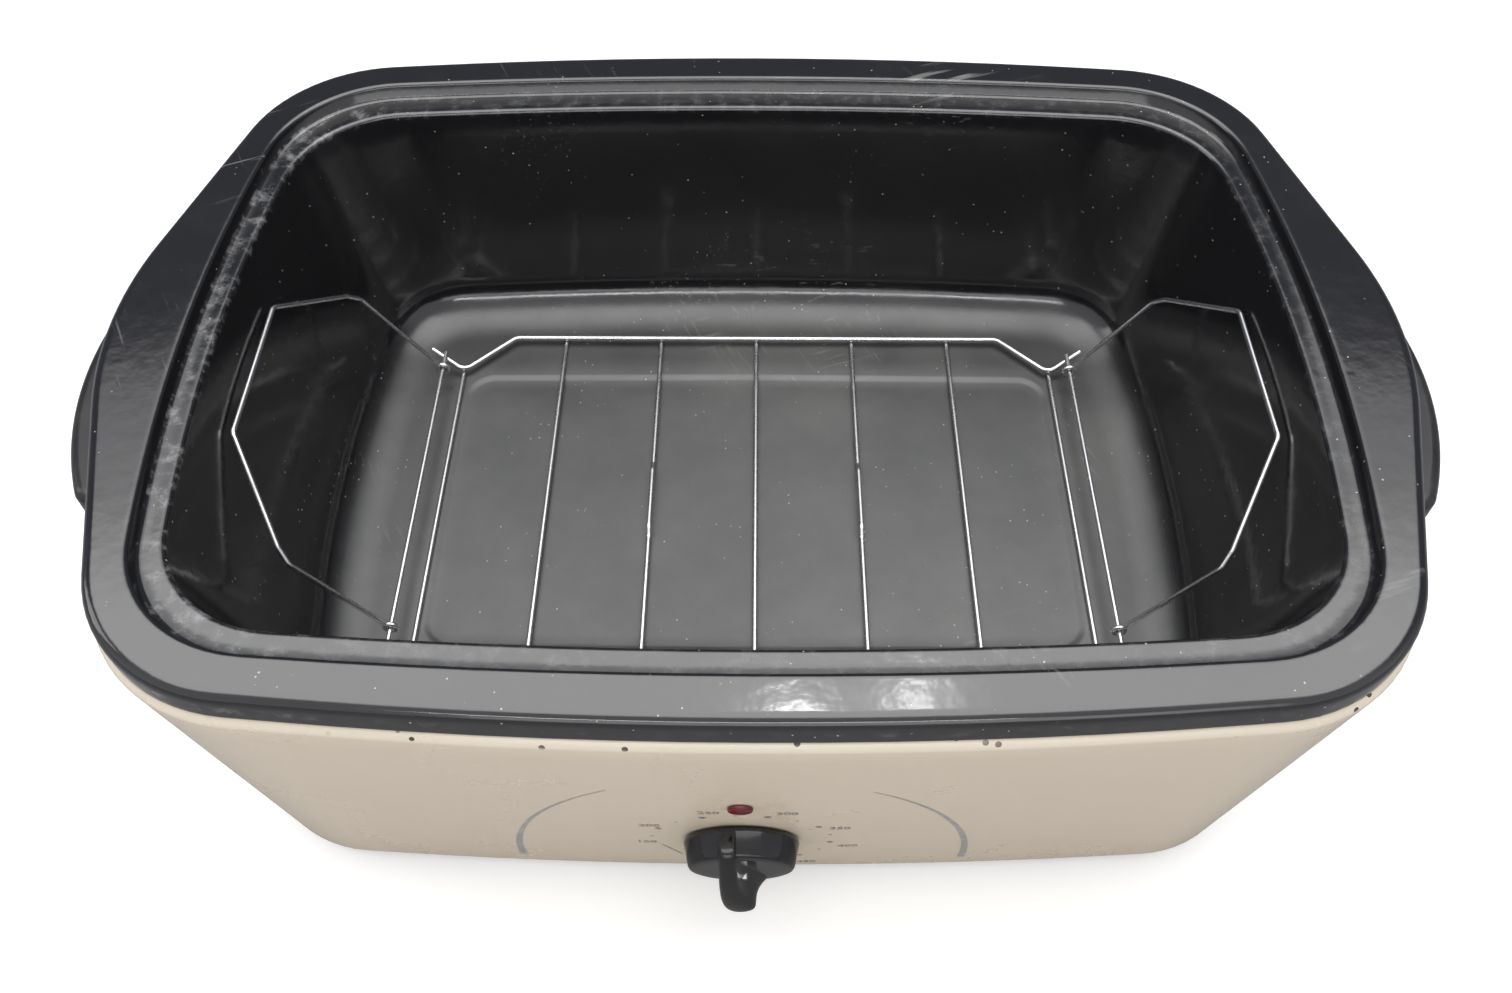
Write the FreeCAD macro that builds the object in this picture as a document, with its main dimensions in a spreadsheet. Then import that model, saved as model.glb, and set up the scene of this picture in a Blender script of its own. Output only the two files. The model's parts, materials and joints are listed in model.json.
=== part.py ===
"""Electric roaster oven without its lid: painted casing, heated liner, lift-out cookwell,
wire rack with two folding bails, and a dial thermostat. Millimetres, +Z up, the front at -Y,
the origin on the table under the middle of the oven."""
import FreeCAD, Part
import math
import os
from FreeCAD import Placement, Rotation, Vector

SIZES = {
    "deck_height": 210.0,
    "base_height": 10.0,
    "sheet_wall": 1.5,
    "liner_wall": 0.8,
    "pan_wall": 1.2,
    "seat_gap": 0.3,
    "rim_apex_x": 300.0,
    "rim_apex_y": 210.8,
    "rim_corner_x": 249.0,
    "rim_corner_y": 189.0,
    "rim_side_radius": 2060.0,
    "rim_corner_radius": 75.0,
    "rim_end_radius": 195.0,
    "riser_apex_x": 263.8,
    "riser_apex_y": 187.8,
    "riser_corner_x": 241.3,
    "riser_corner_y": 170.2,
    "riser_side_radius": 2500.0,
    "riser_corner_radius": 62.0,
    "riser_end_radius": 850.0,
    "mouth_apex_x": 252.5,
    "mouth_apex_y": 172.3,
    "mouth_corner_x": 233.0,
    "mouth_corner_y": 156.0,
    "mouth_side_radius": 2500.0,
    "mouth_corner_radius": 56.0,
    "mouth_end_radius": 830.0,
    "foot_line_apex_x": 224.0,
    "foot_line_apex_y": 154.9,
    "foot_line_corner_x": 208.4,
    "foot_line_corner_y": 142.0,
    "foot_line_side_radius": 2300.0,
    "foot_line_corner_radius": 50.0,
    "foot_line_end_radius": 800.0,
    "base_apex_x": 260.5,
    "base_apex_y": 181.7,
    "base_corner_x": 243.8,
    "base_corner_y": 166.7,
    "base_side_radius": 2900.0,
    "base_corner_radius": 62.0,
    "base_end_radius": 880.0,
    "roll_radius": 5.0,
    "skirt_drop": 14.0,
    "ledge_depth": 8.0,
    "edge_radius": 2.0,
    "pan_depth": 137.0,
    "pan_fillet": 28.0,
    "wall_lean": 9.0,
    "panel_apex_x": 165.0,
    "panel_apex_y": 90.5,
    "panel_corner_x": 163.5,
    "panel_corner_y": 89.0,
    "panel_side_radius": 3000.0,
    "panel_corner_radius": 14.0,
    "panel_end_radius": 1500.0,
    "panel_step": 1.2,
    "lip_proud": 2.0,
    "lip_radius": 5.0,
    "lip_width": 16.0,
    "bottom_lip_width": 10.0,
    "liner_gap": 10.0,
    "liner_flange": 8.0,
    "liner_floor": 46.0,
    "liner_fillet": 30.0,
    "band_bottom": 84.0,
    "band_height": 28.0,
    "band_thickness": 2.5,
    "clamp_length": 34.0,
    "clamp_depth": 5.0,
    "clamp_height": 20.0,
    "clamp_ear_thickness": 3.0,
    "clamp_ear_reach": 7.0,
    "clamp_ear_height": 14.0,
    "clamp_bolt_radius": 2.0,
    "clamp_bolt_length": 44.0,
    "heater_stud_x": 60.0,
    "heater_stud_radius": 2.0,
    "heater_stud_length": 9.0,
    "heater_washer_radius": 5.0,
    "heater_washer_height": 2.5,
    "blanket_gap": 6.0,
    "blanket_drop": 24.0,
    "blanket_thickness": 10.0,
    "foot_x": 196.0,
    "foot_y": 118.0,
    "foot_top_radius": 15.0,
    "foot_bottom_radius": 12.5,
    "screw_radius": 1.9,
    "screw_head_radius": 4.0,
    "screw_head_height": 2.4,
    "screw_clearance": 0.3,
    "foot_screw_recess": 4.0,
    "foot_screw_length": 14.0,
    "base_screw_length": 9.0,
    "shield_height": 30.0,
    "shield_length": 360.0,
    "shield_width": 220.0,
    "shield_thickness": 1.0,
    "shield_corner": 20.0,
    "shield_post_radius": 5.0,
    "fuse_x": -15.0,
    "fuse_y": 40.0,
    "fuse_radius": 2.5,
    "fuse_length": 30.0,
    "fuse_strap": 1.0,
    "fuse_clip_width": 8.0,
    "handle_proud": 15.0,
    "handle_root": 40.0,
    "handle_half_span": 80.0,
    "handle_arc_radius": 175.0,
    "handle_end_radius": 9.0,
    "handle_solid_end": 34.0,
    "handle_height": 24.0,
    "handle_drop": 30.0,
    "handle_floor": 7.0,
    "handle_wall": 6.0,
    "handle_round": 5.0,
    "handle_screw_y": 58.0,
    "handle_screw_length": 11.0,
    "handle_screw_seat": 1.5,
    "thread_gap": 0.1,
    "dial_x": -5.5,
    "dial_z": 61.7,
    "bush_radius": 4.7,
    "bush_reach": 7.0,
    "shaft_radius": 3.0,
    "shaft_reach": 18.0,
    "running_gap": 0.05,
    "nut_radius": 8.0,
    "nut_height": 2.4,
    "thermostat_width": 36.0,
    "thermostat_height": 30.0,
    "thermostat_depth": 15.0,
    "thermostat_round": 2.0,
    "thermostat_bore": 12.0,
    "lug_thickness": 0.8,
    "lug_length": 9.0,
    "lug_width": 6.0,
    "lug_x": 8.0,
    "knob_radius": 26.5,
    "knob_face_radius": 21.5,
    "knob_skirt": 8.0,
    "knob_face": 13.0,
    "knob_reach": 30.0,
    "knob_wall": 2.5,
    "knob_hub_radius": 6.5,
    "knob_gap": 0.8,
    "knob_edge": 1.0,
    "grip_thickness": 8.5,
    "pilot_x": -5.6,
    "pilot_z": 115.2,
    "pilot_radius": 4.2,
    "pilot_flange_radius": 5.6,
    "pilot_flange": 1.6,
    "pilot_barrel": 7.5,
    "lamp_radius": 2.6,
    "block_length": 40.0,
    "block_width": 20.0,
    "block_height": 14.0,
    "block_pitch": 12.0,
    "block_inset": 62.0,
    "pocket_radius": 3.2,
    "pocket_depth": 6.0,
    "terminal_radius": 2.8,
    "terminal_height": 3.0,
    "earth_radius": 2.4,
    "earth_height": 10.0,
    "washer_radius": 5.0,
    "washer_height": 2.0,
    "inlet_x": 0.0,
    "inlet_z": 42.0,
    "inlet_bore_radius": 4.0,
    "inlet_radius": 6.5,
    "inlet_flange_radius": 9.5,
    "inlet_flange": 3.0,
    "inlet_length": 16.0,
    "rail_radius": 1.5,
    "cross_radius": 1.25,
    "weld_depth": 0.25,
    "rail_y": 117.0,
    "rail_straight_x": 141.0,
    "rail_jog_x": 168.0,
    "rail_jog_y": 91.0,
    "rail_tail_x": 186.0,
    "rail_tail_y": 100.0,
    "rail_tail_rise": 8.0,
    "rail_bend": 7.0,
    "cross_pitch": 55.8,
    "hump_rise": 3.0,
    "hump_half_length": 24.0,
    "end_inner_x": 168.5,
    "end_outer_x": 178.0,
    "bail_eye_y": 86.0,
    "bail_eye_gap": 0.3,
    "bail_elbow": 64.0,
    "bail_reach": 110.0,
    "bail_grip_y": 40.0,
    "bail_bend": 5.0,
    "bail_lean": 57.5,
    "lead_radius": 1.4,
    "lead_bend": 8.0,
}

CROSS_WIRES = 5
PROFILE_STEPS = 5

doc = FreeCAD.newDocument("RoasterOven")
sheet = doc.addObject("Spreadsheet::Sheet", "Sizes")
for row, (alias, number) in enumerate(SIZES.items(), start=1):
    sheet.set("A%d" % row, alias)
    sheet.set("B%d" % row, str(number))
    sheet.setAlias("B%d" % row, alias)
doc.recompute()

nodes = []


def size(alias):
    return float(sheet.get(alias))


def keep(obj, label):
    """Count an object of the document as one piece of the oven."""
    obj.Label = label
    nodes.append(obj)
    return obj


def feature(label, shape, placement=None):
    """A piece whose shape is worked out here from the sheet."""
    obj = doc.addObject("Part::Feature", label)
    obj.Shape = shape
    if placement is not None:
        obj.Placement = placement
    return keep(obj, label)


def primitive(kind, name, place=(), **bound):
    """A Part primitive with each size, and each coordinate in place, bound to an expression."""
    obj = doc.addObject("Part::" + kind, name)
    for prop, text in bound.items():
        obj.setExpression(prop, text)
    for axis, text in zip("xyz", place):
        obj.setExpression("Placement.Base." + axis, text)
    return obj


def joined(kind, name, *parts):
    """A fuse, cut or compound of objects that are already in the document."""
    if kind == "Compound":
        obj = doc.addObject("Part::Compound", name)
        obj.Links = list(parts)
    elif kind == "MultiFuse":
        obj = doc.addObject("Part::MultiFuse", name)
        obj.Shapes = list(parts)
    else:
        obj = doc.addObject("Part::" + kind, name)
        obj.Base, obj.Tool = parts
    return obj


class Outline:
    """A closed outline, alike in its four quarters. Each quarter has two straight lines, from the
    apex on Y to the corner and on to the apex on X, and all three meeting points are rounded."""

    FIELDS = ("apex_x", "apex_y", "corner_x", "corner_y", "side_radius", "corner_radius", "end_radius")

    def __init__(self, *numbers):
        (self.apex_x, self.apex_y, self.corner_x, self.corner_y,
         self.side_radius, self.corner_radius, self.end_radius) = numbers

    @classmethod
    def named(cls, name):
        return cls(*[size(name + "_" + field) for field in cls.FIELDS])

    def numbers(self):
        return [getattr(self, field) for field in self.FIELDS]

    def inset(self, distance):
        """The same outline with every line moved inwards, or outwards where distance is negative."""
        side = Vector(self.corner_x, self.corner_y - self.apex_y, 0)
        end = Vector(self.apex_x - self.corner_x, -self.corner_y, 0)
        side_in = Vector(side.y, -side.x, 0).normalize() * distance
        end_in = Vector(end.y, -end.x, 0).normalize() * distance
        side_point = Vector(0, self.apex_y, 0) + side_in
        end_point = Vector(self.apex_x, 0, 0) + end_in
        apex_y = side_point.y - side_point.x * side.y / side.x
        apex_x = end_point.x - end_point.y * end.x / end.y
        corner = crossing(Vector(0, apex_y, 0), side, Vector(apex_x, 0, 0), end)
        return Outline(apex_x, apex_y, corner.x, corner.y, self.side_radius - distance,
                       self.corner_radius - distance, self.end_radius - distance)

    def blend(self, other, share):
        return Outline(*[a + (b - a) * share for a, b in zip(self.numbers(), other.numbers())])

    def wire(self, z):
        points = [Vector(0, -self.apex_y, z), Vector(self.corner_x, -self.corner_y, z),
                  Vector(self.apex_x, 0, z), Vector(self.corner_x, self.corner_y, z),
                  Vector(0, self.apex_y, z), Vector(-self.corner_x, self.corner_y, z),
                  Vector(-self.apex_x, 0, z), Vector(-self.corner_x, -self.corner_y, z)]
        radii = [self.side_radius, self.corner_radius, self.end_radius, self.corner_radius] * 2
        return rounded_wire(points, radii)


def crossing(start, along, other_start, other_along):
    """Where two lines in a level plane cross."""
    turn = along.x * other_along.y - along.y * other_along.x
    between = other_start - start
    share = (between.x * other_along.y - between.y * other_along.x) / turn
    return start + along * share


def rounded_wire(points, radii):
    """A closed wire of straight lines and tangent arcs round the given corners. Where two arcs
    would meet on one line, they are made smaller until a short line is left."""
    count = len(points)
    toward = []
    reaches = []
    for i, here in enumerate(points):
        back = (points[i - 1] - here).normalize()
        ahead = (points[(i + 1) % count] - here).normalize()
        half_turn = (math.pi - back.getAngle(ahead)) / 2
        toward.append((back, ahead, half_turn))
        reaches.append(max(radii[i], 0.5) * math.tan(half_turn))
    for i in range(count):
        length = points[i].distanceToPoint(points[(i + 1) % count])
        total = reaches[i] + reaches[(i + 1) % count]
        if total > length * 0.97:
            longer = i if reaches[i] > reaches[(i + 1) % count] else (i + 1) % count
            reaches[longer] -= total - length * 0.97
    mirrored = [min(reaches[i], reaches[(i + count // 2) % count]) for i in range(count)]
    arcs = []
    for here, reach, (back, ahead, half_turn) in zip(points, mirrored, toward):
        radius = reach / math.tan(half_turn)
        middle = here + (back + ahead).normalize() * (radius / math.cos(half_turn) - radius)
        arcs.append((here + back * reach, middle, here + ahead * reach))
    edges = []
    for i, (first, middle, last) in enumerate(arcs):
        edges.append(Part.Arc(first, middle, last).toShape())
        edges.append(Part.LineSegment(last, arcs[(i + 1) % count][0]).toShape())
    return Part.Wire(edges)


def lofted(stations):
    """A solid with straight walls from each station, an outline and its height, to the next."""
    wires = [outline.wire(z) for outline, z in stations]
    faces = [Part.Face(wires[0]), Part.Face(wires[-1])]
    for (_, z), (_, next_z), wire, next_wire in zip(stations, stations[1:], wires, wires[1:]):
        if abs(next_z - z) < 1e-6:
            faces.append(Part.makeFace([wire, next_wire], "Part::FaceMakerBullseye"))
        else:
            faces += Part.makeRuledSurface(wire, next_wire).Faces
    shell = Part.Shell(faces)
    shell.sewShape()
    solid = Part.Solid(shell)
    if solid.Volume < 0:
        solid.reverse()
    return solid


def corner_arc(outline, inset, z, radius, first, last):
    """Stations round a profile corner. The angle is measured from straight outwards to straight up."""
    stations = []
    for step in range(PROFILE_STEPS + 1):
        angle = math.radians(first + (last - first) * step / PROFILE_STEPS)
        stations.append((outline.inset(inset - radius * math.cos(angle)), z + radius * math.sin(angle)))
    return stations


def tub_wall(foot_line, floor_z, radius):
    """Stations from a tub's flat floor, round its bottom corner, to the start of its leaning wall."""
    lean = size("wall_lean")
    reach = radius * math.tan(math.radians((90 - lean) / 2))
    return corner_arc(foot_line, reach, floor_z + radius, radius, -90, -lean)


def tube(points, radius, bend):
    """A round wire or lead along straight runs joined by tangent arcs."""
    edges = []
    start = points[0]
    for i in range(1, len(points) - 1):
        here = points[i]
        back = (points[i - 1] - here).normalize()
        ahead = (points[i + 1] - here).normalize()
        half_turn = (math.pi - back.getAngle(ahead)) / 2
        shorter = min(here.distanceToPoint(points[i - 1]), here.distanceToPoint(points[i + 1]))
        reach = min(bend * math.tan(half_turn), shorter * 0.45)
        turn_radius = reach / math.tan(half_turn)
        middle = here + (back + ahead).normalize() * (turn_radius / math.cos(half_turn) - turn_radius)
        edges.append(Part.LineSegment(start, here + back * reach).toShape())
        edges.append(Part.Arc(here + back * reach, middle, here + ahead * reach).toShape())
        start = here + ahead * reach
    edges.append(Part.LineSegment(start, points[-1]).toShape())
    path = Part.Wire(edges)
    section = Part.Wire([Part.Circle(points[0], points[1] - points[0], radius).toShape()])
    return path.makePipeShell([section], True, False)


RIM = Outline.named("rim")
RISER = Outline.named("riser")
MOUTH = Outline.named("mouth")
FOOT_LINE = Outline.named("foot_line")
BASE = Outline.named("base")

DECK_Z = size("deck_height")
BASE_Z = size("base_height")
WALL = size("sheet_wall")
LIP_TOP = DECK_Z - size("skirt_drop") - size("seat_gap")
LIP_Z = LIP_TOP - size("lip_radius")
PAN_FLOOR = DECK_Z - size("pan_depth")


def casing_outline(z, inset=0.0):
    """The casing's outline at a height, with its front leaning in towards the base."""
    share = (z - BASE_Z) / (LIP_Z - BASE_Z)
    return BASE.blend(RIM.inset(-size("lip_proud")), share).inset(inset)


def liner_outline(z, outset=0.0):
    """The outside of the liner's wall at a height, between its fillet and its flange."""
    share = (z - PAN_FLOOR) / (LIP_TOP - PAN_FLOOR)
    gap = size("liner_gap") + size("liner_wall") + outset
    return FOOT_LINE.blend(MOUTH, share).inset(-gap)


def casing_solid(inset, bottom, top):
    """The space inside a skin of the casing, from a bottom height to just under the lip."""
    return lofted([(casing_outline(bottom, inset), bottom), (casing_outline(top, inset), top)])


def casing_outside():
    """Everything inside the casing's painted skin, with the round of its lip."""
    round_radius = size("lip_radius")
    top_outline = casing_outline(LIP_Z)
    return lofted([(casing_outline(BASE_Z), BASE_Z)]
                  + corner_arc(top_outline, round_radius, LIP_Z, round_radius, 0, 90))


def face_point(solid, x, z, side):
    """The point on the outside of a wall, on the front (side -1) or back (side 1)."""
    line = Part.makeLine(Vector(x, side * 400, z), Vector(x, 0, z))
    found = line.common(solid)
    return max((vertex.Point for vertex in found.Vertexes), key=lambda point: side * point.y)


def face_placement(x, z, side):
    """A placement on the casing with its own Z along the wall's outward normal."""
    here = face_point(OUTSIDE, x, z, side)
    below = face_point(OUTSIDE, x, z - 10, side)
    along = (here - below).normalize()
    normal = along.cross(Vector(1, 0, 0)) if side > 0 else Vector(1, 0, 0).cross(along)
    if normal.y * side < 0:
        normal = normal * -1
    across = Vector(-side, 0, 0)
    return Placement(here, Rotation(across, normal.cross(across), normal, "ZXY"))


OUTSIDE = casing_outside()
DIAL = face_placement(size("dial_x"), size("dial_z"), -1)
PILOT = face_placement(size("pilot_x"), size("pilot_z"), -1)
INLET = face_placement(size("inlet_x"), size("inlet_z"), 1)


def cylinder_at(placement, radius, low, high):
    """A cylinder along a placement's own Z, between two heights over the casing's skin."""
    solid = Part.makeCylinder(radius, high - low, Vector(0, 0, low))
    solid.Placement = placement
    return solid


def make_casing():
    hollow = casing_solid(WALL, BASE_Z + WALL, LIP_TOP - WALL - size("lip_radius"))
    neck_z = LIP_TOP - WALL - size("lip_radius")
    shoulder = lofted([(casing_outline(neck_z, WALL), neck_z),
                       (casing_outline(neck_z, size("lip_radius")), LIP_TOP - WALL)])
    opening_outline = casing_outline(LIP_Z, size("lip_width"))
    opening = lofted([(opening_outline, neck_z), (opening_outline, LIP_TOP + WALL)])
    bottom_outline = BASE.inset(size("bottom_lip_width"))
    bottom = lofted([(bottom_outline, BASE_Z - WALL), (bottom_outline, BASE_Z + WALL * 2)])
    shell = OUTSIDE.cut(hollow.fuse([shoulder, opening, bottom]))
    clearance = size("screw_clearance")
    holes = [cylinder_at(DIAL, size("bush_radius") + clearance, -WALL * 10, WALL * 10),
             cylinder_at(PILOT, size("pilot_radius") + clearance, -WALL * 10, WALL * 10),
             cylinder_at(INLET, size("inlet_radius") + clearance, -WALL * 10, WALL * 10)]
    for side in (-1, 1):
        for y in (-size("handle_screw_y"), size("handle_screw_y")):
            holes.append(handle_screw_line(side, y, size("screw_radius") + clearance, WALL * 10, WALL * 10))
    for x, y in base_screw_places():
        holes.append(Part.makeCylinder(size("screw_radius") + clearance, WALL * 4, Vector(x, y, BASE_Z - WALL)))
    feature("casing", shell.cut(Part.makeCompound(holes)).removeSplitter())


def handle_screw_z():
    return DECK_Z - size("handle_drop") - size("handle_height") / 2


def end_point(y, z):
    """The point on the casing's skin at its right end."""
    line = Part.makeLine(Vector(400, y, z), Vector(0, y, z))
    return max((vertex.Point for vertex in line.common(OUTSIDE).Vertexes), key=lambda point: point.x)


def handle_screw_line(side, y, radius, inwards, outwards):
    """A cylinder level along X through the casing's end wall at a handle's screw."""
    skin = end_point(abs(y), handle_screw_z())
    start = Vector(side * (skin.x - inwards), y, skin.z)
    return Part.makeCylinder(radius, inwards + outwards, start, Vector(side, 0, 0))


def base_screw_places():
    """Six places on the middle of the casing's bottom lip."""
    middle = BASE.inset(size("bottom_lip_width") * 0.6)
    long_x = middle.corner_x * 0.62
    places = []
    for x in (-long_x, long_x):
        for side in (-1, 1):
            line = Part.makeLine(Vector(x, 0, 0), Vector(x, side * 400, 0))
            places.append(line.distToShape(middle.wire(0))[1][0][0])
    end = Part.makeLine(Vector(0, 0, 0), Vector(400, 0, 0)).distToShape(middle.wire(0))[1][0][0]
    places += [end, Vector(-end.x, 0, 0)]
    return [(point.x, point.y) for point in places]


def screw(head_at, direction, length):
    """A pan-head screw: the underside of its head lies at head_at and its shank runs along direction."""
    shank = Part.makeCylinder(size("screw_radius"), length, head_at, direction)
    head = Part.makeCylinder(size("screw_head_radius"), size("screw_head_height"), head_at, direction * -1)
    domed = head.makeFillet(size("screw_head_height") * 0.45, [head.Edges[0]])
    return shank.fuse(domed).removeSplitter()


def make_base():
    low = BASE_Z + WALL
    outline = BASE.inset(WALL + size("seat_gap") * 3)
    plate = lofted([(outline, low), (outline, low + WALL)])
    radius = size("screw_radius") + size("screw_clearance")
    places = base_screw_places() + foot_places()
    holes = [Part.makeCylinder(radius, WALL * 3, Vector(x, y, low - WALL)) for x, y in places]
    feature("base_plate", plate.cut(Part.makeCompound(holes)))
    screws = [screw(Vector(x, y, BASE_Z), Vector(0, 0, 1), size("base_screw_length"))
              for x, y in base_screw_places()]
    feature("base_screws", Part.makeCompound(screws))


def foot_places():
    return [(sx * size("foot_x"), sy * size("foot_y")) for sx in (-1, 1) for sy in (-1, 1)]


def make_feet():
    """Four moulded feet under the base plate, each with a stepped hole for its screw."""
    names = {(-1, -1): "foot_front_left", (-1, 1): "foot_back_left",
             (1, -1): "foot_front_right", (1, 1): "foot_back_right"}
    height = "Sizes.base_height + Sizes.sheet_wall"
    screws = []
    for (sx, sy), label in names.items():
        place = ("%d * Sizes.foot_x" % sx, "%d * Sizes.foot_y" % sy)
        cone = primitive("Cone", label + "_cone", place + ("0",), Radius1="Sizes.foot_bottom_radius",
                         Radius2="Sizes.foot_top_radius", Height=height)
        recess = primitive("Cylinder", label + "_recess", place + ("-1",),
                           Radius="Sizes.screw_head_radius + Sizes.screw_clearance * 2",
                           Height="Sizes.foot_screw_recess + Sizes.screw_head_height + 1")
        bore = primitive("Cylinder", label + "_bore", place + ("-1",),
                         Radius="Sizes.screw_radius + Sizes.screw_clearance", Height=height + " + 2")
        hole = joined("Fuse", label + "_hole", recess, bore)
        keep(joined("Cut", label, cone, hole), label)
        seat = size("foot_screw_recess") + size("screw_head_height")
        head_at = Vector(sx * size("foot_x"), sy * size("foot_y"), seat)
        screws.append(screw(head_at, Vector(0, 0, 1), size("foot_screw_length")))
    feature("foot_screws", Part.makeCompound(screws))


def make_liner():
    """The heated well that hangs from the casing's lip and surrounds the cookwell."""
    wall = size("liner_wall")
    top = LIP_TOP - WALL
    foot = FOOT_LINE.inset(-size("liner_gap"))
    mouth = liner_outline(top - wall)
    flange = RIM.inset(size("liner_flange"))
    outer = tub_wall(foot.inset(-wall), size("liner_floor") - wall, size("liner_fillet") + wall)
    inner = tub_wall(foot, size("liner_floor"), size("liner_fillet"))
    stations = outer + [(mouth, top - wall), (flange, top - wall), (flange, top), (mouth.inset(wall), top)]
    feature("heating_well_liner", lofted(stations + inner[::-1]))


def liner_skin(z, outset):
    """The liner's real outside at a height: its wall is straight from its fillet to its flange."""
    wall = size("liner_wall")
    top = LIP_TOP - WALL - wall
    foot = FOOT_LINE.inset(-size("liner_gap") - wall)
    start, low = tub_wall(foot, size("liner_floor") - wall, size("liner_fillet") + wall)[-1]
    return start.blend(liner_outline(top), (z - low) / (top - low)).inset(-outset)


def sleeve(bottom, top, inner, outer):
    """A band round the liner between two heights, at two distances from its skin."""
    outside = lofted([(liner_skin(z, outer), z) for z in (bottom, top)])
    inside = lofted([(liner_skin(z, inner), z) for z in (bottom - 1, top + 1)])
    return outside.cut(inside)


def make_heating():
    gap = size("seat_gap")
    low, high = size("band_bottom"), size("band_bottom") + size("band_height")
    band_out = gap + size("band_thickness")
    feature("heater_band", sleeve(low, high, gap, band_out))
    blanket_out = gap + size("blanket_thickness")
    blanket = sleeve(high + size("blanket_gap"), DECK_Z - size("blanket_drop"), gap, blanket_out)
    feature("insulation_blanket", blanket)
    middle = (low + high) / 2
    band_skin = lofted([(liner_skin(z, band_out), z) for z in (low, high)])
    make_clamp(Vector(0, face_point(band_skin, 0, high, 1).y + gap, middle))
    back = Vector(0, 1, 0)
    terminals = []
    for x in (-size("heater_stud_x"), size("heater_stud_x")):
        spot = face_point(band_skin, x, middle + size("heater_washer_radius"), 1)
        seat = Vector(x, spot.y + gap, middle)
        stud = Part.makeCylinder(size("heater_stud_radius"), size("heater_stud_length"), seat, back)
        washer = Part.makeCylinder(size("heater_washer_radius"), size("heater_washer_height"), seat, back)
        terminals.append(stud.fuse(washer).removeSplitter())
    feature("heater_terminals", Part.makeCompound(terminals))


def make_clamp(seat):
    """The yoke that closes the heater band, with a bolt through its two ears."""
    length, depth, height = size("clamp_length"), size("clamp_depth"), size("clamp_height")
    yoke = Part.makeBox(length, depth, height, seat - Vector(length / 2, 0, height / 2))
    thickness, reach, tall = size("clamp_ear_thickness"), size("clamp_ear_reach"), size("clamp_ear_height")
    root = depth - thickness / 6
    ears = [Part.makeBox(thickness, reach, tall, seat + Vector(x, root, -tall / 2))
            for x in (-length / 2, length / 2 - thickness)]
    bolt_length = size("clamp_bolt_length")
    bolt_at = seat + Vector(-bolt_length / 2, root + reach / 2, 0)
    bolt = Part.makeCylinder(size("clamp_bolt_radius"), bolt_length, bolt_at, Vector(1, 0, 0))
    feature("band_clamp", yoke.fuse(ears + [bolt]).removeSplitter())


def make_shield():
    low = BASE_Z + WALL * 2
    high = size("shield_height")
    length, width, thickness = size("shield_length"), size("shield_width"), size("shield_thickness")
    plate = Part.makeBox(length, width, thickness, Vector(-length / 2, -width / 2, high))
    corners = [edge for edge in plate.Edges if edge.Length < thickness * 1.01]
    feature("heat_shield", plate.makeFillet(size("shield_corner"), corners))
    posts = []
    for sx in (-1, 1):
        for sy in (-1, 1):
            place = Vector(sx * length * 0.4, sy * width * 0.3, low)
            posts.append(Part.makeCylinder(size("shield_post_radius"), high - low, place))
    feature("shield_posts", Part.makeCompound(posts))


def make_fuse():
    """A one-shot thermal fuse held by a clip against the underside of the liner."""
    under = size("liner_floor") - size("liner_wall")
    radius, length, gap = size("fuse_radius"), size("fuse_length"), size("seat_gap")
    along = Vector(1, 0, 0)
    centre = Vector(size("fuse_x"), size("fuse_y"), under - radius - gap)
    feature("thermal_fuse", Part.makeCylinder(radius, length, centre, along))
    width, strap = size("fuse_clip_width"), size("fuse_strap")
    outside = radius + gap * 2 / 3 + strap
    left = centre + along * (length - width) / 2
    ring = Part.makeCylinder(outside, width, left, along)
    hole = Part.makeCylinder(outside - strap, width * 2, left - along * width / 2, along)
    above = Part.makeBox(width, outside * 2, outside, left + Vector(0, -outside, 0))
    rise = under - centre.z
    wings = [Part.makeBox(width, width, rise, left + Vector(0, y, 0))
             for y in (strap - outside - width, outside - strap)]
    feature("fuse_clip", ring.cut(hole.fuse(above)).fuse(wings).removeSplitter())


def crescent(reach, half_span, low, high):
    """A flat crescent whose round outer edge is one arc, with its ends rounded in plan."""
    inner_x = size("rim_apex_x") - size("handle_root")
    radius = size("handle_arc_radius")
    end_x = reach - radius + math.sqrt(radius ** 2 - half_span ** 2)
    corners = [Vector(end_x, -half_span, low), Vector(end_x, half_span, low)]
    inner = [Vector(inner_x, half_span, low), Vector(inner_x, -half_span, low)]
    edges = [Part.Arc(corners[0], Vector(reach, 0, low), corners[1]).toShape(),
             Part.LineSegment(corners[1], inner[0]).toShape(),
             Part.LineSegment(inner[0], inner[1]).toShape(),
             Part.LineSegment(inner[1], corners[0]).toShape()]
    block = Part.Face(Part.Wire(edges)).extrude(Vector(0, 0, high - low))
    middle = (low + high) / 2
    upright = [edge for edge in block.Edges
               if abs(edge.CenterOfMass.x - end_x) < 0.01 and abs(edge.CenterOfMass.z - middle) < 0.01]
    return block.makeFillet(size("handle_end_radius"), upright)


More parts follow.
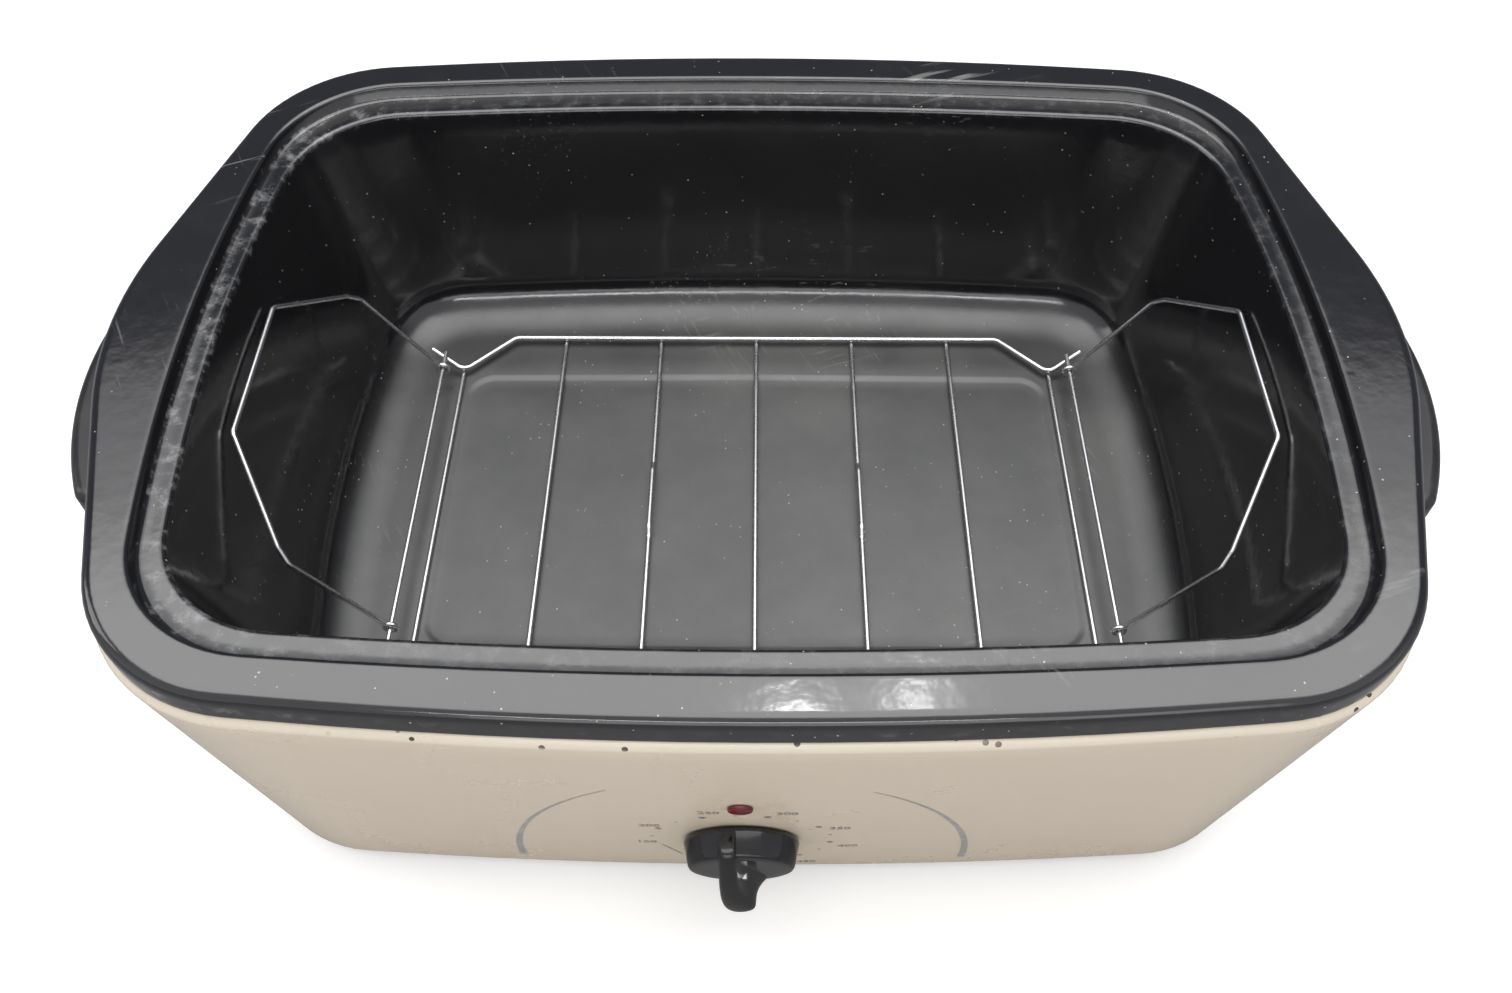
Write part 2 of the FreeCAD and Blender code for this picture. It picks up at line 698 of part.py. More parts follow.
def make_handles():
    """Two moulded side handles, hollow from below for the fingers, each held by two screws."""
    top = DECK_Z - size("handle_drop")
    bottom = top - size("handle_height")
    reach = size("rim_apex_x") + size("handle_proud")
    span, wall = size("handle_half_span"), size("handle_wall")
    block = crescent(reach, span, bottom, top)
    recess = crescent(reach - wall, span - size("handle_solid_end"), bottom - 1, top - size("handle_floor"))
    root_x = size("rim_apex_x") - size("handle_root")
    rim = [edge for edge in block.Edges
           if edge.BoundBox.ZMin > top - 0.01 and edge.CenterOfMass.x > root_x + WALL]
    rounded = block.makeFillet(size("handle_round"), rim)
    grip = rounded.cut(OUTSIDE).cut(recess)
    grip = max(grip.Solids, key=lambda solid: solid.Volume)
    bore_radius = size("screw_radius") + size("thread_gap")
    bores = [handle_screw_line(1, y, bore_radius, WALL, size("handle_screw_length"))
             for y in (-size("handle_screw_y"), size("handle_screw_y"))]
    right = grip.cut(Part.makeCompound(bores)).removeSplitter()
    feature("handle_right", right)
    feature("handle_left", right.mirror(Vector(0, 0, 0), Vector(1, 0, 0)))
    screws = []
    for side in (-1, 1):
        for y in (-size("handle_screw_y"), size("handle_screw_y")):
            skin = end_point(abs(y), handle_screw_z())
            head_at = Vector(side * (skin.x - WALL - size("handle_screw_seat")), y, skin.z)
            screws.append(screw(head_at, Vector(side, 0, 0), size("handle_screw_length")))
    feature("handle_screws", Part.makeCompound(screws))


def shaft_flat(low, gap):
    """The block that the shaft's flat leaves out, from a height over the casing up."""
    reach = size("shaft_reach")
    return Part.makeBox(reach, reach, reach, Vector(-reach / 2, size("shaft_radius") * 0.6 + gap, low))


def make_thermostat():
    """The thermostat stands behind the front, with its threaded bush through the casing."""
    width, height, depth = size("thermostat_width"), size("thermostat_height"), size("thermostat_depth")
    low = -WALL - size("seat_gap")
    box = Part.makeBox(width, height, depth, Vector(-width / 2, -height / 2, low - depth))
    upright = [edge for edge in box.Edges if abs(edge.CenterOfMass.z - (low - depth / 2)) < 0.01]
    box = box.makeFillet(size("thermostat_round"), upright)
    bush = Part.makeCylinder(size("bush_radius"), size("bush_reach") - low, Vector(0, 0, low))
    bore_low = low - size("thermostat_bore")
    bore = Part.makeCylinder(size("shaft_radius") + size("running_gap"), size("bush_reach") - bore_low + WALL,
                             Vector(0, 0, bore_low))
    thickness, long, wide = size("lug_thickness"), size("lug_length"), size("lug_width")
    lugs = [Part.makeBox(thickness, long, wide, Vector(x, thickness - height / 2 - long, low - (depth + wide) / 2))
            for x in (-size("lug_x"), size("lug_x"))]
    feature("thermostat_body", box.fuse([bush] + lugs).cut(bore).removeSplitter(), DIAL)
    nut = Part.Face(Part.makePolygon([Vector(size("nut_radius") * math.cos(math.radians(60 * i)),
                                             size("nut_radius") * math.sin(math.radians(60 * i)),
                                             0.05) for i in range(7)]))
    nut = nut.extrude(Vector(0, 0, size("nut_height")))
    hole = Part.makeCylinder(size("bush_radius") + size("running_gap"), size("nut_height") * 2, Vector(0, 0, -1))
    feature("thermostat_nut", nut.cut(hole), DIAL)
    shaft_low = bore_low + size("seat_gap") * 3
    shaft = Part.makeCylinder(size("shaft_radius"), size("shaft_reach") - shaft_low, Vector(0, 0, shaft_low))
    flat = shaft_flat(size("bush_reach") + size("seat_gap") * 3, 0)
    feature("thermostat_shaft", shaft.cut(flat), DIAL)


def make_knob():
    """A round skirted knob with a tall grip across it. Its pointer end is up at rest."""
    base, face = size("knob_gap"), size("knob_face")
    top, reach = size("knob_radius"), size("knob_reach")
    face_radius, skirt = size("knob_face_radius"), size("knob_skirt")
    edge = size("knob_edge")
    profile = Part.makePolygon([Vector(0, 0, base), Vector(top - edge, 0, base), Vector(top, 0, base + edge),
                                Vector(top, 0, skirt), Vector(face_radius, 0, face), Vector(0, 0, face),
                                Vector(0, 0, base)])
    body = Part.Face(profile).revolve(Vector(0, 0, 0), Vector(0, 0, 1), 360)
    half = size("grip_thickness") / 2
    side = Part.BSplineCurve()
    side.interpolate([Vector(-half, face_radius, face - 2), Vector(-half, face_radius * 0.86, face + 5),
                      Vector(-half, 0, reach - 4), Vector(-half, -face_radius * 0.7, reach),
                      Vector(-half, -face_radius * 1.08, reach - 7), Vector(-half, -face_radius, face - 2)])
    closing = Part.LineSegment(Vector(-half, -face_radius, face - 2), Vector(-half, face_radius, face - 2))
    grip = Part.Face(Part.Wire([side.toShape(), closing.toShape()])).extrude(Vector(half * 2, 0, 0))
    wall = size("knob_wall")
    cavity = Part.makeCylinder(top - wall - edge, skirt - wall, Vector(0, 0, base - edge))
    hub_base = size("bush_reach") + size("seat_gap") * 2
    hub = Part.makeCylinder(size("knob_hub_radius"), face - edge - hub_base, Vector(0, 0, hub_base))
    bore_radius = size("shaft_radius") + size("running_gap")
    bore = Part.makeCylinder(bore_radius, size("shaft_reach") + size("seat_gap"))
    flat = shaft_flat(hub_base + size("seat_gap") * 3, size("running_gap"))
    room = Part.makeCylinder(size("nut_radius") + edge, hub_base)
    solid = body.fuse(grip).cut(cavity).fuse(hub).cut(room).cut(bore.cut(flat))
    feature("knob", solid.removeSplitter(), DIAL)


def make_pilot():
    clear = size("seat_gap") / 3
    flange_radius, flange = size("pilot_flange_radius"), size("pilot_flange")
    radius, barrel = size("pilot_radius"), size("pilot_barrel")
    dome = Part.makeCylinder(flange_radius, flange, Vector(0, 0, 0.05))
    dome = dome.makeFillet(flange * 0.8, [edge for edge in dome.Edges if edge.CenterOfMass.z > flange])
    body = dome.fuse(Part.makeCylinder(radius, barrel + flange / 2, Vector(0, 0, -barrel)))
    room = Part.makeCylinder(size("lamp_radius") + clear, barrel, Vector(0, 0, -barrel - 1))
    feature("pilot_lens", body.cut(room).removeSplitter(), PILOT)
    lamp = Part.makeCylinder(size("lamp_radius"), barrel + 1, Vector(0, 0, -barrel - 2.5))
    feature("pilot_lamp", lamp, PILOT)
    clip = Part.makeCylinder(radius + 2.5, 0.8, Vector(0, 0, -WALL - clear - 0.8))
    clip = clip.cut(Part.makeCylinder(radius + clear / 2, 3, Vector(0, 0, -WALL - 2)))
    feature("pilot_clip", clip, PILOT)


def make_inlet():
    """The bush in the back that a supply cord passes through."""
    flange, length = size("inlet_flange"), size("inlet_length")
    low = -length + flange
    body = Part.makeCylinder(size("inlet_radius"), length, Vector(0, 0, low))
    outer = Part.makeCylinder(size("inlet_flange_radius"), flange, Vector(0, 0, 0.1))
    catch = Part.makeCylinder(size("inlet_flange_radius") - 1, 2, Vector(0, 0, -WALL - 2.4))
    bore = Part.makeCylinder(size("inlet_bore_radius"), length + 4, Vector(0, 0, low - 2))
    feature("cord_inlet_bush", body.fuse([outer, catch]).cut(bore).removeSplitter(), INLET)


def make_wiring():
    """The terminal block on the base plate and the leads that leave it."""
    floor_z = BASE_Z + WALL * 2
    block_x = size("inlet_x") - size("block_length") / 2
    block_y = size("base_apex_y") - size("block_inset")
    on_plate = "Sizes.base_height + Sizes.sheet_wall * 2"
    body = primitive("Box", "block_body",
                     ("Sizes.inlet_x - Sizes.block_length / 2", "Sizes.base_apex_y - Sizes.block_inset", on_plate),
                     Length="Sizes.block_length", Width="Sizes.block_width", Height="Sizes.block_height")
    pockets = [primitive("Cylinder", "block_pocket_%d" % (place + 1),
                         ("Sizes.inlet_x + %d * Sizes.block_pitch" % place,
                          "Sizes.base_apex_y - Sizes.block_inset + Sizes.block_width / 2",
                          on_plate + " + Sizes.block_height - Sizes.pocket_depth"),
                         Radius="Sizes.pocket_radius", Height="Sizes.block_height") for place in (-1, 0, 1)]
    keep(joined("Cut", "terminal_block", body, joined("MultiFuse", "block_pockets", *pockets)),
         "terminal_block")
    heads = []
    head_radius, head_height = size("terminal_radius"), size("terminal_height")
    for place in (-1, 0, 1):
        seat = Vector(size("inlet_x") + place * size("block_pitch"), block_y + size("block_width") / 2,
                      floor_z + size("block_height") - size("pocket_depth"))
        head = Part.makeCylinder(head_radius, head_height, seat)
        slot_at = seat + Vector(-head_radius, -head_radius / 7, head_height * 0.7)
        heads.append(head.cut(Part.makeBox(head_radius * 2, head_radius * 2 / 7, head_height, slot_at)))
    feature("terminal_screws", Part.makeCompound(heads))
    radius, bend = size("lead_radius"), size("lead_bend")
    block_z = floor_z + size("block_height") / 2
    lug = DIAL.multVec(Vector(8.8 + radius, -size("thermostat_height") / 2 - 6,
                              -WALL - size("seat_gap") - size("thermostat_depth") / 2))
    thermostat_lead = tube([Vector(block_x, block_y + 5, block_z), Vector(block_x - 40, block_y + 5, block_z),
                            Vector(block_x - 50, 0, block_z), Vector(lug.x, lug.y + 30, block_z),
                            Vector(lug.x, lug.y, block_z + 2), Vector(lug.x, lug.y, lug.z + 5)], radius, bend)
    middle = size("band_bottom") + size("band_height") / 2
    outset = size("seat_gap") * 2 + size("band_thickness") + 6
    stud_y = face_point(lofted([(liner_skin(z, 0), z) for z in (80, 120)]), 60, middle, 1).y + outset
    heater_lead = tube([Vector(block_x + 40, block_y + 5, block_z), Vector(block_x + 70, block_y + 5, block_z),
                        Vector(block_x + 82, stud_y - 2, block_z + 22), Vector(60, stud_y, middle - 22),
                        Vector(60, stud_y, middle - 2.4)], radius, bend)
    feature("internal_leads", Part.makeCompound([thermostat_lead, heater_lead]))
    earth_at = Vector(block_x - size("block_length") * 0.6, block_y + size("block_width") * 0.8, floor_z)
    stud = Part.makeCylinder(size("earth_radius"), size("earth_height"), earth_at)
    washer = Part.makeCylinder(size("washer_radius"), size("washer_height"), earth_at)
    feature("earth_stud", stud.fuse(washer).removeSplitter())


def make_pan():
    """The enamelled cookwell: a skirted rim, a sunk ledge for a lid and a deep tub, in one sheet."""
    wall = size("pan_wall")
    roll, edge = size("roll_radius"), size("edge_radius")
    ledge_z = DECK_Z - size("ledge_depth")
    skirt_z = DECK_Z - size("skirt_drop")
    step = size("panel_step")
    panel = Outline.named("panel")
    outer = [(panel.inset(-wall), PAN_FLOOR - wall - step), (panel.inset(-wall - step), PAN_FLOOR - wall)]
    outer += tub_wall(FOOT_LINE.inset(-wall), PAN_FLOOR - wall, size("pan_fillet") + wall)
    outer += [(MOUTH.inset(-wall), ledge_z - edge - wall), (MOUTH.inset(-wall - edge), ledge_z - wall),
              (RISER.inset(-wall), ledge_z - wall), (RISER.inset(-wall), DECK_Z - edge - wall),
              (RISER.inset(-wall - edge), DECK_Z - wall)]
    under = corner_arc(RIM, roll, DECK_Z - roll, roll - wall, 90, 0)
    skirt = [(RIM.inset(wall), skirt_z), (RIM, skirt_z)]
    over = corner_arc(RIM, roll, DECK_Z - roll, roll, 0, 90)
    inner = [(RISER.inset(-edge), DECK_Z), (RISER.inset(-edge * 0.3), DECK_Z - edge * 0.3),
             (RISER, DECK_Z - edge), (RISER.inset(edge * 0.2), ledge_z + edge * 0.6),
             (RISER.inset(edge), ledge_z), (MOUTH.inset(-edge), ledge_z),
             (MOUTH.inset(-edge * 0.3), ledge_z - edge * 0.3), (MOUTH, ledge_z - edge)]
    floor = tub_wall(FOOT_LINE, PAN_FLOOR, size("pan_fillet"))[::-1]
    floor += [(panel, PAN_FLOOR), (panel.inset(step), PAN_FLOOR - step)]
    feature("cookwell_pan", lofted(outer + under + skirt + over + inner + floor))


def rack_levels():
    """The heights of the middles of the cross wires and of the side rails."""
    cross = PAN_FLOOR + size("seat_gap") + size("cross_radius")
    rail = cross + size("cross_radius") + size("rail_radius") - size("weld_depth")
    return cross, rail


def make_rack():
    cross_z, rail_z = rack_levels()
    rail_y, tail_z = size("rail_y"), rail_z + size("rail_tail_rise")
    rails = []
    for side in (-1, 1):
        half = [Vector(size("rail_straight_x"), side * rail_y, rail_z),
                Vector(size("rail_jog_x"), side * size("rail_jog_y"), rail_z),
                Vector(size("rail_tail_x"), side * size("rail_tail_y"), tail_z)]
        other = [Vector(-point.x, point.y, point.z) for point in half[::-1]]
        rails.append(tube(other + half, size("rail_radius"), size("rail_bend")))
    feature("rack_side_rails", Part.makeCompound(rails))
    crosses = []
    end_y = rail_y + size("rail_radius")
    for i in range(CROSS_WIRES):
        place = i - (CROSS_WIRES - 1) // 2
        x = place * size("cross_pitch")
        points = [Vector(x, -end_y, cross_z), Vector(x, end_y, cross_z)]
        if abs(place) == 1:
            half, top = size("hump_half_length"), cross_z + size("hump_rise")
            points = [points[0], Vector(x, -half, cross_z), Vector(x, -half + 5, top),
                      Vector(x, half - 5, top), Vector(x, half, cross_z), points[1]]
        crosses.append(tube(points, size("cross_radius"), size("rail_bend") / 2))
    feature("rack_cross_wires", Part.makeCompound(crosses))
    ends = []
    for side in (-1, 1):
        inner_y = size("rail_jog_y") + size("rail_radius")
        ends.append(Part.makeCylinder(size("cross_radius"), inner_y * 2,
                                      Vector(side * size("end_inner_x"), -inner_y, cross_z), Vector(0, 1, 0)))
        pivot = bail_pivot(side)
        outer_y = size("bail_eye_y") + 12
        ends.append(Part.makeCylinder(size("cross_radius"), outer_y * 2,
                                      Vector(pivot.x, -outer_y, pivot.z), Vector(0, 1, 0)))
    feature("rack_end_wires", Part.makeCompound(ends))


def bail_pivot(side):
    """The middle of the outer end wire, on which a bail turns: it is welded on top of the rails' tails."""
    rail_z = rack_levels()[1]
    run = (size("end_outer_x") - size("rail_jog_x")) / (size("rail_tail_x") - size("rail_jog_x"))
    lift = size("rail_radius") + size("cross_radius")
    return Vector(side * size("end_outer_x"), 0, rail_z + size("rail_tail_rise") * run + lift)


def make_bails():
    """Two lifting bails, each one wire bent to a flat-topped loop with an eye at each foot."""
    radius = size("cross_radius")
    eye_radius = radius * 2 + size("bail_eye_gap")
    lean = math.radians(size("bail_lean"))
    for side, label in ((-1, "bail_left_wire"), (1, "bail_right_wire")):
        pivot = bail_pivot(side)
        up = Vector(side * math.cos(lean), 0, math.sin(lean))
        eye_y, grip_y = size("bail_eye_y"), size("bail_grip_y")
        elbow, reach = size("bail_elbow"), size("bail_reach")

        def at(y, along):
            return pivot + up * along + Vector(0, y, 0)

        loop = tube([at(-eye_y, eye_radius), at(-eye_y, elbow), at(-eye_y + 5, elbow + 8),
                     at(-grip_y, reach), at(grip_y, reach), at(eye_y - 5, elbow + 8),
                     at(eye_y, elbow), at(eye_y, eye_radius)], radius, size("bail_bend"))
        eyes = [Part.makeTorus(eye_radius, radius, at(y, 0), Vector(0, 1, 0)) for y in (-eye_y, eye_y)]
        feature(label, loop.fuse(eyes).removeSplitter())


def check_and_export():
    doc.recompute()
    for obj in doc.Objects:
        if "Invalid" in obj.State or "Error" in obj.State:
            raise RuntimeError("%s failed: %s" % (obj.Label, obj.State))
    os.makedirs("parts", exist_ok=True)
    for obj in nodes:
        if obj.Shape.isNull() or not obj.Shape.isValid():
            raise RuntimeError("%s has no valid shape" % obj.Label)
    for obj in nodes:
        obj.Shape.exportStep("parts/%s.step" % obj.Label)
        print("%-22s solids %d  volume %.0f" % (obj.Label, len(obj.Shape.Solids), obj.Shape.Volume))
    for name, place in (("dial", DIAL), ("pilot", PILOT), ("inlet", INLET)):
        normal = place.Rotation.multVec(Vector(0, 0, 1))
        print(name, [round(v, 5) for v in place.Base], "normal", [round(v, 6) for v in normal])
    print("bail pivot", [round(v, 4) for v in bail_pivot(1)])


make_casing()
make_base()
make_feet()
make_liner()
make_heating()
make_shield()
make_fuse()
make_handles()
make_thermostat()
make_knob()
make_pilot()
make_inlet()
make_wiring()
make_pan()
make_rack()
make_bails()
check_and_export()
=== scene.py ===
"""Studio model of an electric roaster oven: enamelled cookwell, painted casing, dial, rack and bails."""
import json
import math

import bmesh
import bpy
from mathutils import Matrix, Vector


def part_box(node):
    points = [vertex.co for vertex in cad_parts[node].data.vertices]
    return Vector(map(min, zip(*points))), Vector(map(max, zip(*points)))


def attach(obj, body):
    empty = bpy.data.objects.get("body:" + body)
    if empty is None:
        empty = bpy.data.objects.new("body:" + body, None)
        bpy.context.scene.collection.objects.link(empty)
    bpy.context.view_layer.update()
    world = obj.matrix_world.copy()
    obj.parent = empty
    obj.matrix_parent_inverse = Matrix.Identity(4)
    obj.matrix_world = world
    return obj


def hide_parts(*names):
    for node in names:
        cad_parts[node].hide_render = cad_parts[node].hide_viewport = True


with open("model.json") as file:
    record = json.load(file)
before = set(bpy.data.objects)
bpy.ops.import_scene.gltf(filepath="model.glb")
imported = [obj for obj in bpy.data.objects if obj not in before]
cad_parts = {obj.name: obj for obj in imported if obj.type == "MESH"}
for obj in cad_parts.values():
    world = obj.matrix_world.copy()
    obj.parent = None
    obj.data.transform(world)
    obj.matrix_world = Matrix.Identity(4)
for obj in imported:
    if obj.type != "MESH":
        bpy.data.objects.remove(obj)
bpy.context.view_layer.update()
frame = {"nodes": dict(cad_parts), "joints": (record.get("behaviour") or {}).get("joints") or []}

bl_info = {
    "name": "Roaster oven studio",
    "version": (1, 0, 0),
    "blender": (4, 5, 0),
    "location": "View3D > Sidebar > Roaster",
    "description": "Models and finishes the roaster oven round its packed frame",
    "category": "Add Mesh",
}

MM = 0.001
PAN_LOW, PAN_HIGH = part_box("cookwell_pan")
CASING_LOW, CASING_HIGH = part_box("casing")
BASE_Z = CASING_LOW.z
LIP_TOP = CASING_HIGH.z
DECK_Z = PAN_HIGH.z

DIAL_CENTRE = Vector(next(j["pos_m"] for j in frame["joints"] if j["name"] == "dial_turn"))
DIAL_NORMAL = Vector(next(j["axis"] for j in frame["joints"] if j["name"] == "dial_turn")).normalized()
DIAL_ACROSS = Vector((1, 0, 0))
DIAL_UP = DIAL_NORMAL.cross(DIAL_ACROSS).normalized()

ARC_POINTS = 14
LINE_POINTS = 6
LEAST_RADIUS = 0.5 * MM
ROOM_SHARE = 0.97
SHEET_SMOOTHING = 50
KNOB_SMOOTHING = 40


def length_setting(name, description, default):
    return bpy.props.FloatProperty(name=name, description=description, default=default, unit="LENGTH")


def colour_setting(name, description, default):
    return bpy.props.FloatVectorProperty(
        name=name, description=description, subtype="COLOR", default=default)


class RoasterSizes(bpy.types.PropertyGroup):
    sheet_wall: length_setting("Casing sheet", "Thickness of the painted casing", 1.4 * MM)
    pan_wall: length_setting("Cookwell sheet", "Thickness of the enamelled cookwell", 1.2 * MM)
    pan_roll: length_setting("Rim roll", "Radius of the cookwell's rolled rim", 5.0 * MM)
    pan_fillet: length_setting("Floor fillet", "Radius round the cookwell's floor", 28.0 * MM)
    knob_radius: length_setting("Knob radius", "Radius of the knob at the casing", 26.5 * MM)
    dial_radius: length_setting("Dial radius", "Radius of the ring of dial marks", 41.0 * MM)


class RoasterColours(bpy.types.PropertyGroup):
    paint: colour_setting("Paint", "Almond paint of the casing", (0.65, 0.56, 0.445))
    enamel: colour_setting("Enamel", "Black porcelain enamel", (0.009, 0.009, 0.010))
    dust: colour_setting("Dust", "Film of old cooking dust", (0.13, 0.13, 0.12))
    ink: colour_setting("Ink", "Grey print of the dial", (0.20, 0.185, 0.175))
    plastic: colour_setting("Plastic", "Moulded black plastic", (0.014, 0.014, 0.015))
    lens: colour_setting("Lens", "Red pilot lens", (0.17, 0.003, 0.006))


def sizes():
    return bpy.context.scene.roaster_sizes


def colours():
    return bpy.context.scene.roaster_colours


class Outline:
    """A closed outline, alike in its four quarters, of lines between an apex on Y, a corner and an
    apex on X, with each meeting point rounded. Given in millimetres and kept in metres."""

    def __init__(self, apex_x, apex_y, corner_x, corner_y, side_radius, corner_radius, end_radius, unit=MM):
        self.numbers = [n * unit for n in (apex_x, apex_y, corner_x, corner_y,
                                           side_radius, corner_radius, end_radius)]

    def inset(self, distance):
        apex_x, apex_y, corner_x, corner_y, side_radius, corner_radius, end_radius = self.numbers
        side = Vector((corner_x, corner_y - apex_y))
        end = Vector((apex_x - corner_x, -corner_y))
        side_point = Vector((0, apex_y)) + Vector((side.y, -side.x)).normalized() * distance
        end_point = Vector((apex_x, 0)) + Vector((end.y, -end.x)).normalized() * distance
        new_y = side_point.y - side_point.x * side.y / side.x
        new_x = end_point.x - end_point.y * end.x / end.y
        turn = side.x * end.y - side.y * end.x
        share = (new_x * end.y + new_y * end.x) / turn
        corner = Vector((0, new_y)) + side * share
        return Outline(new_x, new_y, corner.x, corner.y, side_radius - distance,
                       corner_radius - distance, end_radius - distance, unit=1)

    def blend(self, other, share):
        return Outline(*[a + (b - a) * share for a, b in zip(self.numbers, other.numbers)], unit=1)

    def ring(self, z):
        """Points round the outline at a height, in the same order and number for every outline."""
        apex_x, apex_y, corner_x, corner_y, side_radius, corner_radius, end_radius = self.numbers
        places = ((0, -apex_y), (corner_x, -corner_y), (apex_x, 0), (corner_x, corner_y),
                  (0, apex_y), (-corner_x, corner_y), (-apex_x, 0), (-corner_x, -corner_y))
        corners = [Vector(place) for place in places]
        radii = [side_radius, corner_radius, end_radius, corner_radius] * 2
        count = len(corners)
        backs = [(corners[i - 1] - corners[i]).normalized() for i in range(count)]
        aheads = [(corners[(i + 1) % count] - corners[i]).normalized() for i in range(count)]
        halves = [(math.pi - back.angle(ahead)) / 2 for back, ahead in zip(backs, aheads)]
        reaches = [max(radius, LEAST_RADIUS) * math.tan(half) for radius, half in zip(radii, halves)]
        for i in range(0, count, 2):
            for j in (i - 1, (i + 1) % count):
                room = (corners[i] - corners[j]).length * ROOM_SHARE - reaches[j]
                reaches[i] = min(reaches[i], room)
        points = []
        for i, corner in enumerate(corners):
            radius = reaches[i] / math.tan(halves[i])
            centre = corner + (backs[i] + aheads[i]).normalized() * radius / math.cos(halves[i])
            first = corner + backs[i] * reaches[i] - centre
            start = math.atan2(first.y, first.x)
            for step in range(ARC_POINTS + 1):
                angle = start + 2 * halves[i] * step / ARC_POINTS
                points.append(centre + Vector((math.cos(angle), math.sin(angle))) * radius)
            following = (i + 1) % count
            last = points[-1].copy()
            target = corners[following] + backs[following] * reaches[following]
            for step in range(1, LINE_POINTS):
                points.append(last.lerp(target, step / LINE_POINTS))
        return [Vector((p.x, p.y, z)) for p in points]


RIM = Outline(300.0, 210.8, 249.0, 189.0, 2060.0, 75.0, 195.0)
RISER = Outline(263.8, 187.8, 241.3, 170.2, 2500.0, 62.0, 850.0)
MOUTH = Outline(252.5, 172.3, 233.0, 156.0, 2500.0, 56.0, 830.0)
FOOT_LINE = Outline(224.0, 154.9, 208.4, 142.0, 2300.0, 50.0, 800.0)
BASE = Outline(260.5, 181.7, 243.8, 166.7, 2900.0, 62.0, 880.0)
PANEL = Outline(165.0, 90.5, 163.5, 89.0, 3000.0, 14.0, 1500.0)
LIP_PROUD = 2.0 * MM
LIP_RADIUS = 5.0 * MM
LIP_WIDTH = 16.0 * MM
BOTTOM_LIP = 10.0 * MM
LIP_Z = LIP_TOP - LIP_RADIUS
SKIRT_DEPTH = 14.0 * MM
LEDGE_DEPTH = 8.0 * MM
PANEL_DEPTH = 1.2 * MM


def casing_outline(z, inset=0.0):
    share = (z - BASE_Z) / (LIP_Z - BASE_Z)
    return BASE.blend(RIM.inset(-LIP_PROUD), share).inset(inset)


def on_front(x, z, lift=0.0):
    """The point on the casing's bowed front at a width and a height."""
    apex_x, apex_y, corner_x, corner_y, side_radius = casing_outline(z).numbers[:5]
    slope = math.atan2(apex_y - corner_y, corner_x)
    centre = apex_y - side_radius / math.cos(slope)
    y = centre + math.sqrt(side_radius ** 2 - x ** 2)
    return Vector((x, -y, z)) + DIAL_NORMAL * lift


def on_dial(across, up, lift=0.0):
    """The point on the casing's front at a place on the dial, measured from the knob's axis."""
    z = DIAL_CENTRE.z + up * DIAL_UP.z
    return on_front(DIAL_CENTRE.x + across, z, lift)


def deselect():
    if bpy.context.object and bpy.context.object.mode != "OBJECT":
        bpy.ops.object.mode_set(mode="OBJECT")
    bpy.ops.object.select_all(action="DESELECT")


def take(obj):
    """Make an object the only selected one and the active one."""
    deselect()
    obj.select_set(True)
    bpy.context.view_layer.objects.active = obj


def settle(obj, name, material, body, slot, *replaced):
    """Name a finished piece, fix its place in its mesh, and give it its finish and body. The slot argument
    is not used.
    """
    take(obj)
    bpy.ops.object.transform_apply(location=True, rotation=True, scale=True)
    obj.name = name
    obj.data.name = name
    obj.data.materials.clear()
    obj.data.materials.append(material)
    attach(obj, body)
    if replaced:
        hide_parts(*replaced)
    return obj


def smooth(obj, degrees):
    """Shade an object smooth wherever its faces meet at less than an angle."""
    take(obj)
    bpy.ops.object.shade_smooth_by_angle(angle=math.radians(degrees))


def join_pieces(pieces):
    """Join meshes into the first of them, which stays the active object."""
    deselect()
    for piece in pieces:
        piece.select_set(True)
    bpy.context.view_layer.objects.active = pieces[0]
    bpy.ops.object.join()
    return bpy.context.object


def apply_modifier(obj, kind, **settings):
    take(obj)
    modifier = obj.modifiers.new(kind.title(), kind)
    for key, setting in settings.items():
        setattr(modifier, key, setting)
    bpy.ops.object.modifier_apply(modifier=modifier.name)


def place_selected(obj, ring):
    """Move each selected vertex to its numbered place on a ring."""
    mesh = bmesh.from_edit_mesh(obj.data)
    number = mesh.verts.layers.int["place"]
    for vert in mesh.verts:
        if vert.select:
            vert.co = ring[vert[number]]
    bmesh.update_edit_mesh(obj.data)


def drawn_shell(rings, close_last=False, close_first=False):
    """A sheet drawn from ring to ring: a circle shaped to the first ring, then extruded to each next."""
    deselect()
    bpy.ops.mesh.primitive_circle_add(vertices=len(rings[0]), radius=0.1)
    obj = bpy.context.object
    bpy.ops.object.mode_set(mode="EDIT")
    mesh = bmesh.from_edit_mesh(obj.data)
    number = mesh.verts.layers.int.new("place")
    mesh.verts.ensure_lookup_table()
    vert = mesh.verts[0]
    before = None
    for place in range(len(rings[0])):
        vert[number] = place
        following = [e.other_vert(vert) for e in vert.link_edges if e.other_vert(vert) != before]
        before, vert = vert, following[0]
    bmesh.update_edit_mesh(obj.data)
    bpy.ops.mesh.select_all(action="SELECT")
    place_selected(obj, rings[0])
    if close_first:
        bpy.ops.mesh.edge_face_add()
    for ring in rings[1:]:
        bpy.ops.mesh.extrude_edges_move()
        place_selected(obj, ring)
    if close_last:
        bpy.ops.mesh.edge_face_add()
    bpy.ops.mesh.select_all(action="SELECT")
    bpy.ops.mesh.normals_make_consistent(inside=False)
    bpy.ops.object.mode_set(mode="OBJECT")
    return obj


def profile_arc(outline, inset, z, radius, first, last, steps=7):
    """Rings round a profile corner, from one angle over the horizontal to another."""
    rings = []
    for step in range(steps + 1):
        angle = math.radians(first + (last - first) * step / steps)
        rings.append(outline.inset(inset - radius * math.cos(angle)).ring(z + radius * math.sin(angle)))
    return rings


